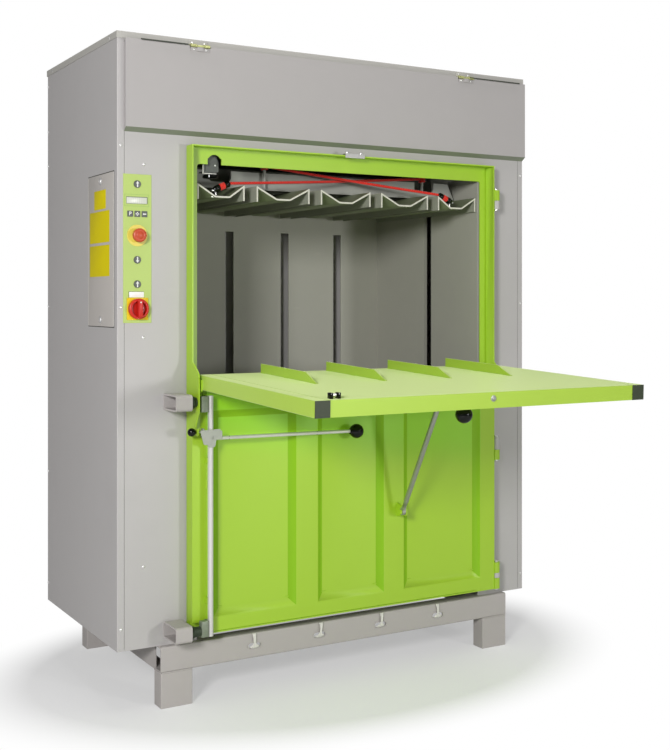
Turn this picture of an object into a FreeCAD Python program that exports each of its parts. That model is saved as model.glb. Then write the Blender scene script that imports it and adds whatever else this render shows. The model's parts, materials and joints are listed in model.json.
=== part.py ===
"""Low-height cardboard baler: sheet-metal casing on a channel base, full-height
door with a fold-down loading flap, swivel-bar lock, corrugated press platen
pulled down by two side cylinders, and a control column.

Every place is worked out in the machine's own axes: x from the middle of the
casing, y backwards from its front sheet, z up from the floor.  The part's origin
is the middle of the bottom of its bounding box, with the flap folded open.
"""
import FreeCAD, Part
import Sketcher
import math
import os
import re

doc = FreeCAD.newDocument("baler")
sheet = doc.addObject("Spreadsheet::Sheet", "Sizes")

# ---------------------------------------------------------------------------
# Driving dimensions, millimetres and degrees
# ---------------------------------------------------------------------------
SIZES = {
    # casing
    "casing_wide": 1496, "casing_deep": 693, "top_space": 314, "skin": 2,
    "return_wide": 22, "lid_lip": 20, "lid_fit": 0.3, "seam": 0.3,
    "hatch_low": 250, "hatch_high": 30, "hatch_side": 60,
    "louvre_wide": 160, "louvre_tall": 8, "louvre_pitch": 26, "louvre_drop": 110,
    # base frame
    "foot_tall": 105, "foot_wide": 100, "foot_deep": 53, "foot_wall": 4,
    "beam_tall": 76, "beam_flange": 48, "beam_wall": 5, "beam_out": 20,
    "base_inset": 109, "base_shift": 18,
    "eyelet_wide": 42, "eyelet_tall": 15, "rim_wide": 3, "rim_out": 2,
    # press chamber
    "chamber_shift": 26, "side_bay": 223, "rear_gap": 43, "chamber_wall": 5,
    "floor_up": 62, "floor_sheet": 6, "groove_wide": 34, "groove_deep": 26,
    "edge_lane": 183, "deck_over": 6, "deck_sheet": 4, "slot_wide": 45,
    "guide_wide": 8, "back_slot_top": 190,
    "bearer_wide": 60, "bearer_inset": 90, "bearer_wall": 4,
    # door frame
    "door_lap": 35, "door_tall": 1452, "door_gap": 28, "door_deep": 44,
    "door_off": 5, "door_plate": 4, "opening_ease": 2.5, "opening_low": 756,
    "header": 52, "opening_corner": 8, "stile_left": 44, "stile_right": 60,
    "lock_notch": 38, "cheek_out": 47, "cheek_low": 624, "cheek_high": 866,
    "cheek_taper": 46, "notch_wide": 46, "notch_tall": 30, "notch_inset": 57.5,
    "latch_slot": 26,
    # pressed lower panel
    "panel_skin": 3, "panel_top": 4, "field_deep": 15, "field_run": 22,
    "rib_wide": 78, "rib_one": 173, "rib_two": 149, "field_margin": 24,
    "field_low": 47, "field_top": 62,
    # door hinges
    "hinge_side": 14, "hinge_out": 40, "knuckle": 12.5, "hinge_pin": 6,
    "knuckle_fit": 0.5, "pin_stick": 5, "pin_fit": 0.1,
    "hinge_a_low": 28, "hinge_a_split": 65, "hinge_a_next": 82, "hinge_a_high": 118,
    "hinge_b_low": 471, "hinge_b_split": 506, "hinge_b_high": 548,
    "hinge_c_drop": 148, "hinge_c_pin": 29, "hinge_c_lug": 36,
    # loading flap
    "flap_ease": 15, "flap_clear": 16.5, "flap_thick": 43, "flap_droop": 2,
    "flap_axis_out": 54, "flap_axis_up": 756.5, "flap_tube_wall": 3,
    "flap_sheet": 2.5, "flap_inset": 2, "fin_tall": 28, "fin_thick": 5,
    "fin_start": 12, "fin_long": 345, "fin_front": 70, "plug_long": 3,
    "plug_deep": 18, "plug_fit": 0.2, "lug_thick": 5, "lug_round": 17, "lug_bore": 8, "lug_long": 36,
    "actuator_long": 28, "actuator_deep": 15, "actuator_tall": 15,
    "actuator_back": 20, "actuator_shift": 6,
    # flap latch
    "bolt_round": 6, "bolt_out": 6, "bolt_up": 26, "bolt_long": 150,
    "bolt_travel": 14, "knob_round": 24, "knob_drop": 33, "knob_back": 129,
    "stem_round": 5, "strike_wide": 72, "strike_tall": 14.5, "strike_deep": 16,
    "strike_lap": 8.5, "strike_thick": 4, "guide_block": 26,
    # flap strut
    "strut_side": 154, "strut_foot_out": 92, "strut_foot_up": 337,
    "strut_head_out": 262, "strut_head_drop": 11, "strut_tube_round": 10,
    "strut_rod_round": 5, "strut_tube_long": 330, "strut_eye_round": 11,
    "strut_eye_thick": 12, "strut_pin_round": 5, "bracket_plate": 4,
    "bracket_half": 16, "strut_gap": 0.5, "strut_fit": 0.3, "strut_stop": 30,
    "pin_head": 5,
    # door lock
    "lock_inset": 46, "lock_out": 77, "lock_round": 8.5, "lock_low": 30,
    "lock_high": 738, "claw_deep": 34, "claw_tall": 36, "nose_deep": 20,
    "claw_hollow": 6, "keeper_low": 48, "keeper_high": 720, "keeper_long": 51,
    "keeper_deep": 100, "keeper_tall": 48, "keeper_wall": 5, "keeper_corner": 10,
    "keeper_gap": 81, "stud_round": 15, "stud_long": 32, "stud_short": 19,
    "cap_thick": 4, "nut_round": 17.5, "nut_thick": 8, "lock_nose_gap": 2,
    "hub_up": 622, "hub_wide": 60, "hub_tall": 24, "hub_taper": 24,
    "hub_tip": 20, "hub_plate": 4, "hub_sunk": 1.5, "bar_up": 612,
    "bar_round": 5.5, "bar_long": 488, "bar_back": 2,
    "ball_round": 23, "catch_up": 633, "catch_round": 3.5, "catch_ball": 12.5,
    "catch_out": 60, "catch_boss": 11, "saddle_tall": 22, "saddle_fit": 0.2,
    "saddle_low": 120, "saddle_high": 560, "saddle_wall": 5,
    # press platen
    "platen_drop": 162, "platen_front": 6, "platen_side": 5, "platen_rear": 10,
    "channel_tall": 49, "channel_sheet": 5, "channel_gap": 41, "valley_up": 7,
    "valley_wide": 46, "edge_valley_shift": 4,
    "web_front": 130, "web_back": 183, "web_thick": 8, "web_tall": 55,
    "web_inset": 7, "web_slope": 28, "bay_inset": 168, "bay_wide": 80,
    "bay_deep": 35, "bay_round": 16,
    "arm_wide": 36, "arm_tall": 80, "arm_wall": 6, "arm_block": 30,
    "yoke_plate": 10, "yoke_half": 50, "yoke_drop": 50, "yoke_block": 34,
    "yoke_outer": 36, "yoke_inner": 84, "saddle_near": 52, "yoke_below": 16,
    "cylinder_gap": 115, "cylinder_round": 40, "cylinder_bore": 30,
    "cylinder_low": 40, "cylinder_spare": 115, "cylinder_base": 8,
    "rod_round": 17.5, "piston_tall": 28, "piston_gap": 4,
    "gland_tall": 34, "gland_round": 46, "running": 0.3, "press_low": 534,
    "mount_block": 40, "shelf_thick": 10, "shelf_half": 60, "shelf_reach": 52,
    # cords on the platen
    "cord_round": 4, "left_hook_inset": 116, "right_hook_inset": 156,
    "cord_up": 53, "cord_back": 8, "sleeve_gap": 1.3, "sleeve_round": 6.5,
    "sleeve_long": 48, "sleeve_drop": 20, "hook_wire": 2.5, "hook_ring": 7,
    "hook_turn": 215,
    "front_post_side": 240, "front_post_up": 125, "front_post_y": 115,
    "rear_post_side": 395, "rear_post_up": 120, "rear_post_y": 150,
    "post_round": 5, "post_fit": 0.9,
    # hood over the power unit
    "hood_over": 24, "hood_drop": 21, "hood_out": 18, "hood_chin": 12,
    "hood_left": 20, "hood_sheet": 2, "hood_gap": 0.5, "hood_slope": 14,
    "hood_axis_out": 22, "leaf_wide": 62, "leaf_tall": 15, "leaf_thick": 2,
    "left_leaf_inset": 252, "right_leaf_inset": 261, "leaf_knuckle": 3.5,
    "leaf_pin": 1.5, "leaf_drop": 23, "leaf_top_gap": 3,
    # power unit
    "tank_wide": 420, "tank_deep": 300, "tank_tall": 170, "tank_front": 60,
    "tank_side": -150, "cap_inset": 60, "motor_round": 70, "motor_long": 200,
    "motor_fin": 5, "motor_fin_gap": 16.8, "motor_inset": 20, "motor_foot": 14,
    "block_wide": 90, "block_deep": 80, "block_tall": 70, "block_inset": 20,
    "cap_round": 24, "cap_tall": 22, "pump_long": 60, "pump_round": 34,
    # control column
    "plate_left": 18, "plate_right": 105, "plate_low": 953, "plate_high": 1387,
    "plate_thick": 1.5, "box_deep": 110, "box_margin": 8, "box_gap": 2, "column": 61,
    "button_round": 11, "button_hole": 11.3, "button_out": 2.5, "button_back": 12,
    "up_key_up": 1358, "down_key_up": 1137, "raise_key_up": 1066,
    "display_left": 27, "display_right": 92, "display_low": 1300,
    "display_high": 1321, "display_frame": 7, "display_thick": 2.5,
    "key_side": 22, "key_size": 16, "key_up": 1271, "key_out": 1.5,
    "stop_up": 1208, "stop_disc": 31, "stop_disc_thick": 2, "stop_head": 20,
    "stop_head_thick": 13, "stop_neck": 12, "stop_out": 20,
    "label_left": 36, "label_right": 84, "label_low": 1027, "label_high": 1044,
    "label_thick": 1, "switch_up": 994, "switch_plate": 65, "switch_disc": 28,
    "switch_disc_thick": 14, "switch_plate_thick": 4, "switch_grip_wide": 14,
    "switch_grip_tall": 50, "switch_grip_thick": 13, "shaft_round": 4,
    # access cover
    "cover_front": 26, "cover_rear": 256, "cover_low": 941, "cover_high": 1395,
    "cover_thick": 1.5, "cover_lap": 14, "cover_screw_y": 141,
    "cover_screw_in": 20, "screw_head": 7, "screw_tall": 3.5, "washer_round": 11,
    "washer_thick": 1,
    # safety switch
    "tongue_wide": 42, "tongue_low_drop": 78, "tongue_high_drop": 30,
    "tongue_thick": 3, "tongue_back": 10, "bracket_foot": 30, "gland_nut": 13,
    "gland_nut_long": 22, "gland_inset": 188, "gland_up": 300, "gland_step": 3.5,
    # strap tails
    "strap_wide": 13, "strap_thick": 1.2,
}
for row, (alias, value) in enumerate(SIZES.items(), start=1):
    sheet.set("A%d" % row, alias)
    sheet.set("B%d" % row, str(value))
    sheet.setAlias("B%d" % row, alias)
doc.recompute()

# ---------------------------------------------------------------------------
# Places worked out from the driving dimensions
# ---------------------------------------------------------------------------
DERIVED = {}
WORD = re.compile(r"[a-z][a-z_]*[a-z]")
FUNCTIONS = {"cos", "sin", "tan", "atan", "sqrt", "min", "max"}


def expand(text):
    """Write a formula over size names as one over spreadsheet cells."""
    def swap(found):
        word = found.group(0)
        if word in FUNCTIONS:
            return word
        if word in DERIVED:
            return "(" + DERIVED[word] + ")"
        if word in SIZES:
            return "Sizes." + word
        raise NameError(word)
    return WORD.sub(swap, str(text))


def derive(**formulas):
    for name, formula in formulas.items():
        DERIVED[name] = expand(formula)


# widths that follow the casing's, depths that follow its depth
derive(base_top="foot_tall + beam_tall",
       half_wide="casing_wide/2",
       base_wide="casing_wide - 2*base_inset",
       chamber_wide="casing_wide - 2*side_bay",
       chamber_rear="casing_deep - rear_gap",
       leaf_left="casing_wide/2 - left_leaf_inset",
       leaf_right="casing_wide/2 - right_leaf_inset",
       gland_side="casing_wide/2 - gland_inset")
derive(door_wide="chamber_wide + 2*door_lap",
       opening_wide="chamber_wide + 2*opening_ease",
       strap_pitch="(chamber_wide - 2*edge_lane)/3",
       slot_rear="chamber_rear/2",
       web_rear="chamber_rear - web_back",
       web_half="chamber_wide/2 - web_inset",
       cylinder_side="chamber_wide/2 + cylinder_gap",
       keeper_side="chamber_wide/2 + keeper_gap",
       left_cord_side="chamber_wide/2 - left_hook_inset",
       right_cord_side="chamber_wide/2 - right_hook_inset")
derive(flap_wide="door_wide - 2*flap_ease",
       lock_side="door_wide/2 - lock_inset",
       notch_side="opening_wide/2 - notch_inset",
       bay_near="web_half - bay_inset")
derive(actuator_side="notch_side + actuator_shift",
       tongue_side="0 - notch_side")

# heights over the base that follow the door's
derive(door_top="door_gap + door_tall")
derive(opening_high="door_top - header",
       strike_up="door_top - strike_lap",
       hinge_c_low="door_top - hinge_c_drop",
       deck_up="door_top + deck_over",
       flap_long="door_top - flap_axis_up - flap_clear")
derive(hinge_c_split="hinge_c_low + hinge_c_pin",
       hinge_c_high="hinge_c_low + hinge_c_pin + hinge_c_lug",
       tongue_low="deck_up - tongue_low_drop",
       tongue_high="deck_up - tongue_high_drop",
       hood_low="deck_up + hood_over",
       casing_tall="deck_up + top_space",
       platen_up="deck_up - platen_drop")
derive(hood_high="casing_tall - hood_drop",
       leaf_up="casing_tall - leaf_drop",
       yoke_top="casing_tall - yoke_drop",
       press_stroke="platen_up - press_low",
       cord_low="platen_up + cord_up")
derive(cylinder_high="press_stroke + cylinder_spare")

# places in the machine's axes
derive(casing_top="base_top + casing_tall",
       base_left="base_shift - base_wide/2",
       base_right="base_shift + base_wide/2",
       base_rear="casing_deep + beam_out",
       chamber_left="chamber_shift - chamber_wide/2",
       chamber_right="chamber_shift + chamber_wide/2",
       deck_top="base_top + deck_up + deck_sheet",
       door_left="chamber_shift - door_wide/2",
       door_right="chamber_shift + door_wide/2",
       door_low="base_top + door_gap",
       door_front="0 - door_off - door_deep",
       opening_left="chamber_shift - opening_wide/2",
       opening_right="chamber_shift + opening_wide/2",
       hinge_x="chamber_shift + door_wide/2 + hinge_side",
       flap_axis_z="base_top + flap_axis_up",
       flap_left="chamber_shift - flap_wide/2",
       flap_right="chamber_shift + flap_wide/2",
       strut_x="chamber_shift + strut_side",
       lock_x="chamber_shift - lock_side",
       keeper_left="chamber_shift - keeper_side - keeper_long/2",
       slot_front="slot_rear - slot_wide",
       cylinder_y="slot_rear - slot_wide/2",
       platen_low="base_top + platen_up",
       column_x="column - casing_wide/2",
       cover_out="cover_thick + washer_thick + screw_tall",
       lid_out="skin + lid_fit")
derive(door_high="door_low + door_tall",
       keeper_right="keeper_left + keeper_long",
       platen_top="platen_low + channel_tall",
       flap_reach="flap_axis_out + (flap_long + bolt_out)*cos(flap_droop)"
                  " + (bolt_up + bolt_round)*sin(flap_droop)")
derive(mid_x="(cover_out - lid_out)/2",
       front_y="(flap_reach - base_rear)/2")

# the strut, from its foot on the door to its head under the open flap
derive(head_y="0 - flap_axis_out - strut_head_out*cos(flap_droop)"
              " + strut_head_drop*sin(flap_droop)",
       head_z="flap_axis_z - strut_head_out*sin(flap_droop)"
              " - strut_head_drop*cos(flap_droop)")
derive(strut_lean="atan((0 - head_y - strut_foot_out)/(head_z - base_top - strut_foot_up))",
       strut_span="sqrt((head_y + strut_foot_out)*(head_y + strut_foot_out)"
                  " + (head_z - base_top - strut_foot_up)*(head_z - base_top - strut_foot_up))")

FRAMES = {
    "machine": ("mid_x", "front_y", "0", "0"),
    "flap": ("mid_x", "front_y - flap_axis_out", "flap_axis_z", "flap_droop"),
    "strut": ("mid_x + strut_x", "front_y - strut_foot_out",
              "base_top + strut_foot_up", "strut_lean"),
}
TURNS = {
    "x": FreeCAD.Rotation(FreeCAD.Vector(0, 1, 0), 90),
    "y": FreeCAD.Rotation(FreeCAD.Vector(1, 0, 0), -90),
    "z": FreeCAD.Rotation(),
}
PLANES = {
    "xy": FreeCAD.Rotation(),
    "xz": FreeCAD.Rotation(FreeCAD.Vector(1, 0, 0), 90),
    "yz": FreeCAD.Rotation(FreeCAD.Vector(1, 1, 1), 120),
}
SUBPARTS = []


# ---------------------------------------------------------------------------
# Ways of making a piece
# ---------------------------------------------------------------------------
def number(formula):
    """The value of a formula, read back from a property bound to it."""
    gauge.setExpression("Length", expand(formula) + " + 10000")
    gauge.recompute()
    return gauge.Length.Value - 10000


gauge = doc.addObject("Part::Box", "Gauge")


def put(piece, x, y, z):
    for axis, formula in zip("xyz", (x, y, z)):
        piece.setExpression(".Placement.Base." + axis, expand(formula))
    return piece


def box(low, size):
    """A block from its low corner and its three lengths."""
    block = doc.addObject("Part::Box", "Block")
    for side, formula in zip(("Length", "Width", "Height"), size):
        block.setExpression(side, expand(formula))
    return put(block, *low)


def bar(axis, start, radius, length):
    """A round bar along x, y or z."""
    round_bar = doc.addObject("Part::Cylinder", "Round")
    round_bar.Placement.Rotation = TURNS[axis]
    round_bar.setExpression("Radius", expand(radius))
    round_bar.setExpression("Height", expand(length))
    return put(round_bar, *start)


def ball(centre, radius):
    sphere = doc.addObject("Part::Sphere", "Ball")
    sphere.setExpression("Radius", expand(radius))
    return put(sphere, *centre)


def fuse(*pieces):
    if len(pieces) == 1:
        return pieces[0]
    joined = doc.addObject("Part::MultiFuse", "Joined")
    joined.Shapes = list(pieces)
    return joined


def cut(piece, *tools):
    trimmed = doc.addObject("Part::Cut", "Trimmed")
    trimmed.Base = piece
    trimmed.Tool = fuse(*tools)
    return trimmed


def outline(plane, place, length, points, rounds=()):
    """A sketched outline padded along the plane's normal.

    xy pads upwards, xz pads towards the front (-y) and yz pads to the right.
    rounds lists outline corners, by number, that get an arc of the given radius.
    """
    body = doc.addObject("PartDesign::Body", "Profile")
    sketch = body.newObject("Sketcher::SketchObject", "Outline")
    flat = [f for f in body.Origin.OriginFeatures if f.Role == "XY_Plane"][0]
    sketch.AttachmentSupport = [(flat, "")]
    sketch.MapMode = "FlatFace"
    places = [FreeCAD.Vector(number(a), number(b), 0) for a, b in points]
    count = len(points)
    for i in range(count):
        sketch.addGeometry(Part.LineSegment(places[i], places[(i + 1) % count]), False)
    for i in range(count):
        sketch.addConstraint(Sketcher.Constraint("Coincident", i, 2, (i + 1) % count, 1))
    for i, (a, b) in enumerate(points):
        for kind, formula, value in (("DistanceX", a, places[i].x),
                                     ("DistanceY", b, places[i].y)):
            index = sketch.addConstraint(Sketcher.Constraint(kind, i, 1, value))
            sketch.setExpression("Constraints[%d]" % index, expand(formula))
    pad = body.newObject("PartDesign::Pad", "Pad")
    pad.Profile = sketch
    pad.setExpression("Length", expand(length))
    sketch.Visibility = False
    if rounds:
        doc.recompute()
        for corners, radius in rounds:
            before = body.Tip
            edges = upright_edges(before, [places[i] for i in corners])
            fillet = body.newObject("PartDesign::Fillet", "Corners")
            fillet.Base = (before, edges)
            fillet.setExpression("Radius", expand(radius))
            doc.recompute()
    body.Placement.Rotation = PLANES[plane]
    return put(body, *place)


def upright_edges(feature, corners):
    """Names of the feature's pad-direction edges that stand on the given corners."""
    names = []
    for i, edge in enumerate(feature.Shape.Edges, start=1):
        a, b = edge.Vertexes[0].Point, edge.Vertexes[-1].Point
        if abs(a.z - b.z) < 1e-6:
            continue
        if any(math.hypot(a.x - c.x, a.y - c.y) < 1e-4 for c in corners):
            names.append("Edge%d" % i)
    return names


def frustum(low, high, mouth, floor):
    """A pocket tool that narrows from its mouth (low y) to its floor (high y)."""
    wedge = doc.addObject("Part::Wedge", "Taper")
    wedge.setExpression("Ymin", expand(low))
    wedge.setExpression("Ymax", expand(high))
    for name, formula in zip(("Xmin", "Xmax", "Zmin", "Zmax"), mouth):
        wedge.setExpression(name, expand(formula))
    for name, formula in zip(("X2min", "X2max", "Z2min", "Z2max"), floor):
        wedge.setExpression(name, expand(formula))
    return wedge


def subpart(label, frame, *pieces):
    """Name a sub-part and set it in its frame: machine, flap or strut."""
    group = doc.addObject("Part::Compound", "Subpart")
    group.Links = list(pieces)
    group.Label = label
    x, y, z, angle = FRAMES[frame]
    group.setExpression(".Placement.Base.x", expand(x))
    group.setExpression(".Placement.Base.y", expand(y))
    group.setExpression(".Placement.Base.z", expand(z))
    if frame != "machine":
        group.Placement.Rotation = FreeCAD.Rotation(FreeCAD.Vector(1, 0, 0), 1)
        group.setExpression(".Placement.Rotation.Angle", expand(angle))
    SUBPARTS.append(group)
    return group


# ---------------------------------------------------------------------------
# Base: two C-channel beams, two side rails and four box feet
# ---------------------------------------------------------------------------
STRAPS = [-1.5, -0.5, 0.5, 1.5]


def strap_x(k):
    return "(chamber_shift + %s*strap_pitch)" % k


def beam(face, inward):
    """C-channel along x: its web at y = face, its flanges towards inward."""
    reach = "%s + (%s)*beam_flange" % (face, inward)
    web = "%s + (%s)*beam_wall" % (face, inward)
    points = [(face, "0"), (reach, "0"), (reach, "beam_wall"), (web, "beam_wall"),
              (web, "beam_tall - beam_wall"), (reach, "beam_tall - beam_wall"),
              (reach, "beam_tall"), (face, "beam_tall")]
    return outline("yz", ("base_left", "0", "foot_tall"), "base_wide", points,
                   [((0, 7), "beam_wall")])


def eyelet_hole(k):
    straight = "eyelet_wide - eyelet_tall"
    low = ("%s - (%s)/2" % (strap_x(k), straight), "0 - 2*beam_out",
           "base_top - beam_tall/2 - eyelet_tall/2")
    tools = [box(low, (straight, "3*beam_out", "eyelet_tall"))]
    for side in ("-", "+"):
        x = "%s %s (%s)/2" % (strap_x(k), side, straight)
        tools.append(bar("y", (x, "0 - 2*beam_out", "base_top - beam_tall/2"),
                         "eyelet_tall/2", "3*beam_out"))
    return fuse(*tools)


def eyelet_rim(k):
    """Raised lip round a strap hole, pressed out of the beam."""
    straight = "eyelet_wide - eyelet_tall"
    outer = "eyelet_tall/2 + rim_wide"
    face = "0 - beam_out - rim_out"
    tools = [box(("%s - (%s)/2" % (strap_x(k), straight), face,
                  "base_top - beam_tall/2 - (%s)" % outer),
                 (straight, "rim_out", "2*(%s)" % outer))]
    for side in ("-", "+"):
        x = "%s %s (%s)/2" % (strap_x(k), side, straight)
        tools.append(bar("y", (x, face, "base_top - beam_tall/2"), outer, "rim_out"))
    return fuse(*tools)


front_channel = beam("0 - beam_out", "1")
front_beam = cut(fuse(front_channel, *[eyelet_rim(k) for k in STRAPS]),
                 *[eyelet_hole(k) for k in STRAPS])


def side_rail(outer, inward):
    reach = "%s + (%s)*beam_flange" % (outer, inward)
    web = "%s + (%s)*beam_wall" % (outer, inward)
    points = [(outer, "0"), (reach, "0"), (reach, "beam_wall"), (web, "beam_wall"),
              (web, "beam_tall - beam_wall"), (reach, "beam_tall - beam_wall"),
              (reach, "beam_tall"), (outer, "beam_tall")]
    front = "beam_flange - beam_out"
    return outline("xz", ("0", "base_rear - beam_flange", "foot_tall"),
                   "base_rear - beam_flange - (%s)" % front, points)


shelves = []
for left, right in (("chamber_shift - cylinder_side - shelf_reach", "chamber_left - chamber_wall"),
                    ("chamber_right + chamber_wall", "chamber_shift + cylinder_side + shelf_reach")):
    shelves.append(box((left, "cylinder_y - shelf_half", "base_top"),
                       ("%s - (%s)" % (right, left), "2*shelf_half", "shelf_thick")))
subpart("base_frame", "machine", front_beam, beam("base_rear", "-1"),
        side_rail("base_left", "1"), side_rail("base_right", "-1"), *shelves)

feet = []
for foot_x in ("base_left", "base_right - foot_wide"):
    for foot_y in ("0 - beam_out", "base_rear - foot_deep"):
        outer = box((foot_x, foot_y, "0"), ("foot_wide", "foot_deep", "foot_tall"))
        inner = box((foot_x + " + foot_wall", foot_y + " + foot_wall", "foot_wall"),
                    ("foot_wide - 2*foot_wall", "foot_deep - 2*foot_wall", "foot_tall"))
        feet.append(cut(outer, inner))
subpart("feet", "machine", *feet)

# ---------------------------------------------------------------------------
# Press chamber: grooved floor, three walls, slide guides and a deck on top
# ---------------------------------------------------------------------------
floor_top = "(base_top + floor_up)"
lane_edge = "groove_wide/2 + floor_sheet"


def strap_channel(k):
    """Channel let into the floor for a strap under the bale: two side strips and a bottom strip."""
    left = "%s - groove_wide/2" % strap_x(k)
    right = "%s + groove_wide/2" % strap_x(k)
    low = "%s - groove_deep - floor_sheet" % floor_top
    tall = "groove_deep + floor_sheet"
    strips = [box((x, "skin", low), ("floor_sheet", "chamber_rear - skin", tall))
              for x in (left + " - floor_sheet", right)]
    strips.append(box((left, "skin", low), ("groove_wide", "chamber_rear - skin", "floor_sheet")))
    return strips


lane_ends = ["chamber_left"]
for k in STRAPS:
    lane_ends += ["%s - (%s)" % (strap_x(k), lane_edge), "%s + (%s)" % (strap_x(k), lane_edge)]
lane_ends.append("chamber_right")
floor_plates = [box((left, "skin", floor_top + " - floor_sheet"),
                    ("%s - (%s)" % (right, left), "chamber_rear - skin", "floor_sheet"))
                for left, right in zip(lane_ends[::2], lane_ends[1::2])]

bearers = []
bearer_tall = "floor_up - groove_deep - floor_sheet"
for y in ("bearer_inset", "chamber_rear - bearer_inset - bearer_wide"):
    outer = box(("chamber_left", y, "base_top"), ("chamber_wide", "bearer_wide", bearer_tall))
    inner = box(("chamber_left - 1", y + " + bearer_wall", "base_top + bearer_wall"),
                ("chamber_wide + 2", "bearer_wide - 2*bearer_wall",
                 "%s - 2*bearer_wall" % bearer_tall))
    bearers.append(cut(outer, inner))
channel_strips = [strip for k in STRAPS for strip in strap_channel(k)]
subpart("chamber_floor", "machine", *floor_plates, *channel_strips, *bearers)

wall_tall = "deck_up"
arm_low = "(platen_up + channel_tall)"
slot_low = "base_top + %s - press_stroke - 2*platen_side" % arm_low


def chamber_wall(x):
    plate = box((x, "skin", "base_top"), ("chamber_wall", "chamber_rear - skin", wall_tall))
    slot = box((x + " - 1", "slot_front", slot_low),
               ("chamber_wall + 2", "slot_wide", "deck_up"))
    return cut(plate, slot)


back = box(("chamber_left - chamber_wall", "chamber_rear", "base_top"),
           ("chamber_wide + 2*chamber_wall", "chamber_wall", wall_tall))
slots = [box(("%s - groove_wide/2" % strap_x(k), "chamber_rear - 1", floor_top + " - groove_deep"),
             ("groove_wide", "chamber_wall + 2", "deck_up - floor_up - back_slot_top"))
         for k in STRAPS]
subpart("chamber_back_wall", "machine", cut(back, *slots))
guides = [box((x, "slot_rear", slot_low),
              ("guide_wide", "guide_wide", "base_top + deck_up - (%s)" % slot_low))
          for x in ("chamber_left - chamber_wall - guide_wide", "chamber_right + chamber_wall")]
subpart("chamber_side_walls", "machine", chamber_wall("chamber_left - chamber_wall"),
        chamber_wall("chamber_right"), *guides)
subpart("service_deck", "machine",
        box(("chamber_left - chamber_wall", "skin", "base_top + deck_up"),
            ("chamber_wide + 2*chamber_wall", "chamber_rear + chamber_wall - skin", "deck_sheet")))

# ---------------------------------------------------------------------------
# Casing: folded side panels, front and back sheets, lid
# ---------------------------------------------------------------------------
panel_tall = "casing_tall - skin"


def side_panel(outer, inward):
    """Side sheet with a return folded round the front and the rear edge."""
    turn = "%s + (%s)*return_wide" % (outer, inward)
    inner = "%s + (%s)*skin" % (outer, inward)
    points = [(outer, "0"), (turn, "0"), (turn, "skin"), (inner, "skin"),
              (inner, "casing_deep - skin"), (turn, "casing_deep - skin"),
              (turn, "casing_deep"), (outer, "casing_deep")]
    return outline("xy", ("0", "0", "base_top"), panel_tall, points)


cover_hole = box(("0 - half_wide - 1", "cover_front + cover_lap", "base_top + cover_low + 2*cover_lap"),
                 ("skin + 2", "cover_rear - cover_front - 2*cover_lap",
                  "cover_high - cover_low - 4*cover_lap"))
subpart("side_panels", "machine", cut(side_panel("0 - half_wide", "1"), cover_hole),
        side_panel("half_wide", "-1"))

sheet_left = "0 - half_wide + return_wide + seam"
sheet_wide = "casing_wide - 2*return_wide - 2*seam"
front_sheet = box((sheet_left, "0", "base_top"), (sheet_wide, "skin", panel_tall))
chamber_mouth = box(("chamber_left", "0 - 1", "base_top - 1"),
                    ("chamber_wide", "skin + 2", "deck_up + 1"))
service_hatch = box(("0 - half_wide + hatch_side", "0 - 1", "casing_top - hatch_low"),
                    ("casing_wide - 2*hatch_side", "skin + 2", "hatch_low - hatch_high"))
control_hole = box(("plate_left + box_margin + box_gap - half_wide", "0 - 1",
                    "base_top + plate_low + box_margin"),
                   ("plate_right - plate_left - 2*box_margin - 2*box_gap", "skin + 2",
                    "plate_high - plate_low - 2*box_margin"))
subpart("front_panel", "machine", cut(front_sheet, chamber_mouth, service_hatch, control_hole))

back_sheet = box((sheet_left, "casing_deep - skin", "base_top"), (sheet_wide, "skin", panel_tall))
louvres = []
for column in (-0.5, 0.5):
    for level in range(5):
        louvres.append(box(("%s*2*louvre_wide - louvre_wide/2" % column, "casing_deep - skin - 1",
                            "casing_top - louvre_drop - %d*louvre_pitch" % level),
                           ("louvre_wide", "skin + 2", "louvre_tall")))
gland_hole = bar("y", ("gland_side", "casing_deep - skin - 1", "base_top + gland_up"),
                 "gland_nut - gland_step + running", "skin + 2")
gland = fuse(bar("y", ("gland_side", "casing_deep", "base_top + gland_up"),
                 "gland_nut", "gland_nut_long/2"),
             bar("y", ("gland_side", "casing_deep - gland_nut_long/2", "base_top + gland_up"),
                 "gland_nut - gland_step", "gland_nut_long"))
cable_gland = cut(gland, bar("y", ("gland_side", "casing_deep - gland_nut_long", "base_top + gland_up"),
                              "gland_nut/2", "2*gland_nut_long"))
subpart("back_panel", "machine", cut(back_sheet, gland_hole, *louvres), cable_gland)

lid_outer = box(("0 - half_wide - lid_out", "0 - lid_out", "casing_top - lid_lip"),
                ("casing_wide + 2*lid_out", "casing_deep + 2*lid_out", "lid_lip"))
lid_inner = box(("0 - half_wide - lid_fit", "0 - lid_fit", "casing_top - lid_lip - 1"),
                ("casing_wide + 2*lid_fit", "casing_deep + 2*lid_fit", "lid_lip + 1 - skin"))
subpart("lid", "machine", cut(lid_outer, lid_inner))

# ---------------------------------------------------------------------------
# Access cover on the left side, with its two screws
# ---------------------------------------------------------------------------
cover_x = "0 - half_wide - cover_thick"
cover_plate = box((cover_x, "cover_front", "base_top + cover_low"),
                  ("cover_thick", "cover_rear - cover_front", "cover_high - cover_low"))
cover_screws = []
for z in ("base_top + cover_low + cover_screw_in", "base_top + cover_high - cover_screw_in"):
    head = bar("x", ("0 - half_wide - cover_out", "cover_screw_y", z), "screw_head", "screw_tall")
    washer = bar("x", (cover_x + " - washer_thick", "cover_screw_y", z),
                 "washer_round", "washer_thick")
    cover_screws.append(fuse(head, washer))
subpart("access_cover", "machine", cover_plate, *cover_screws)

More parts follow.
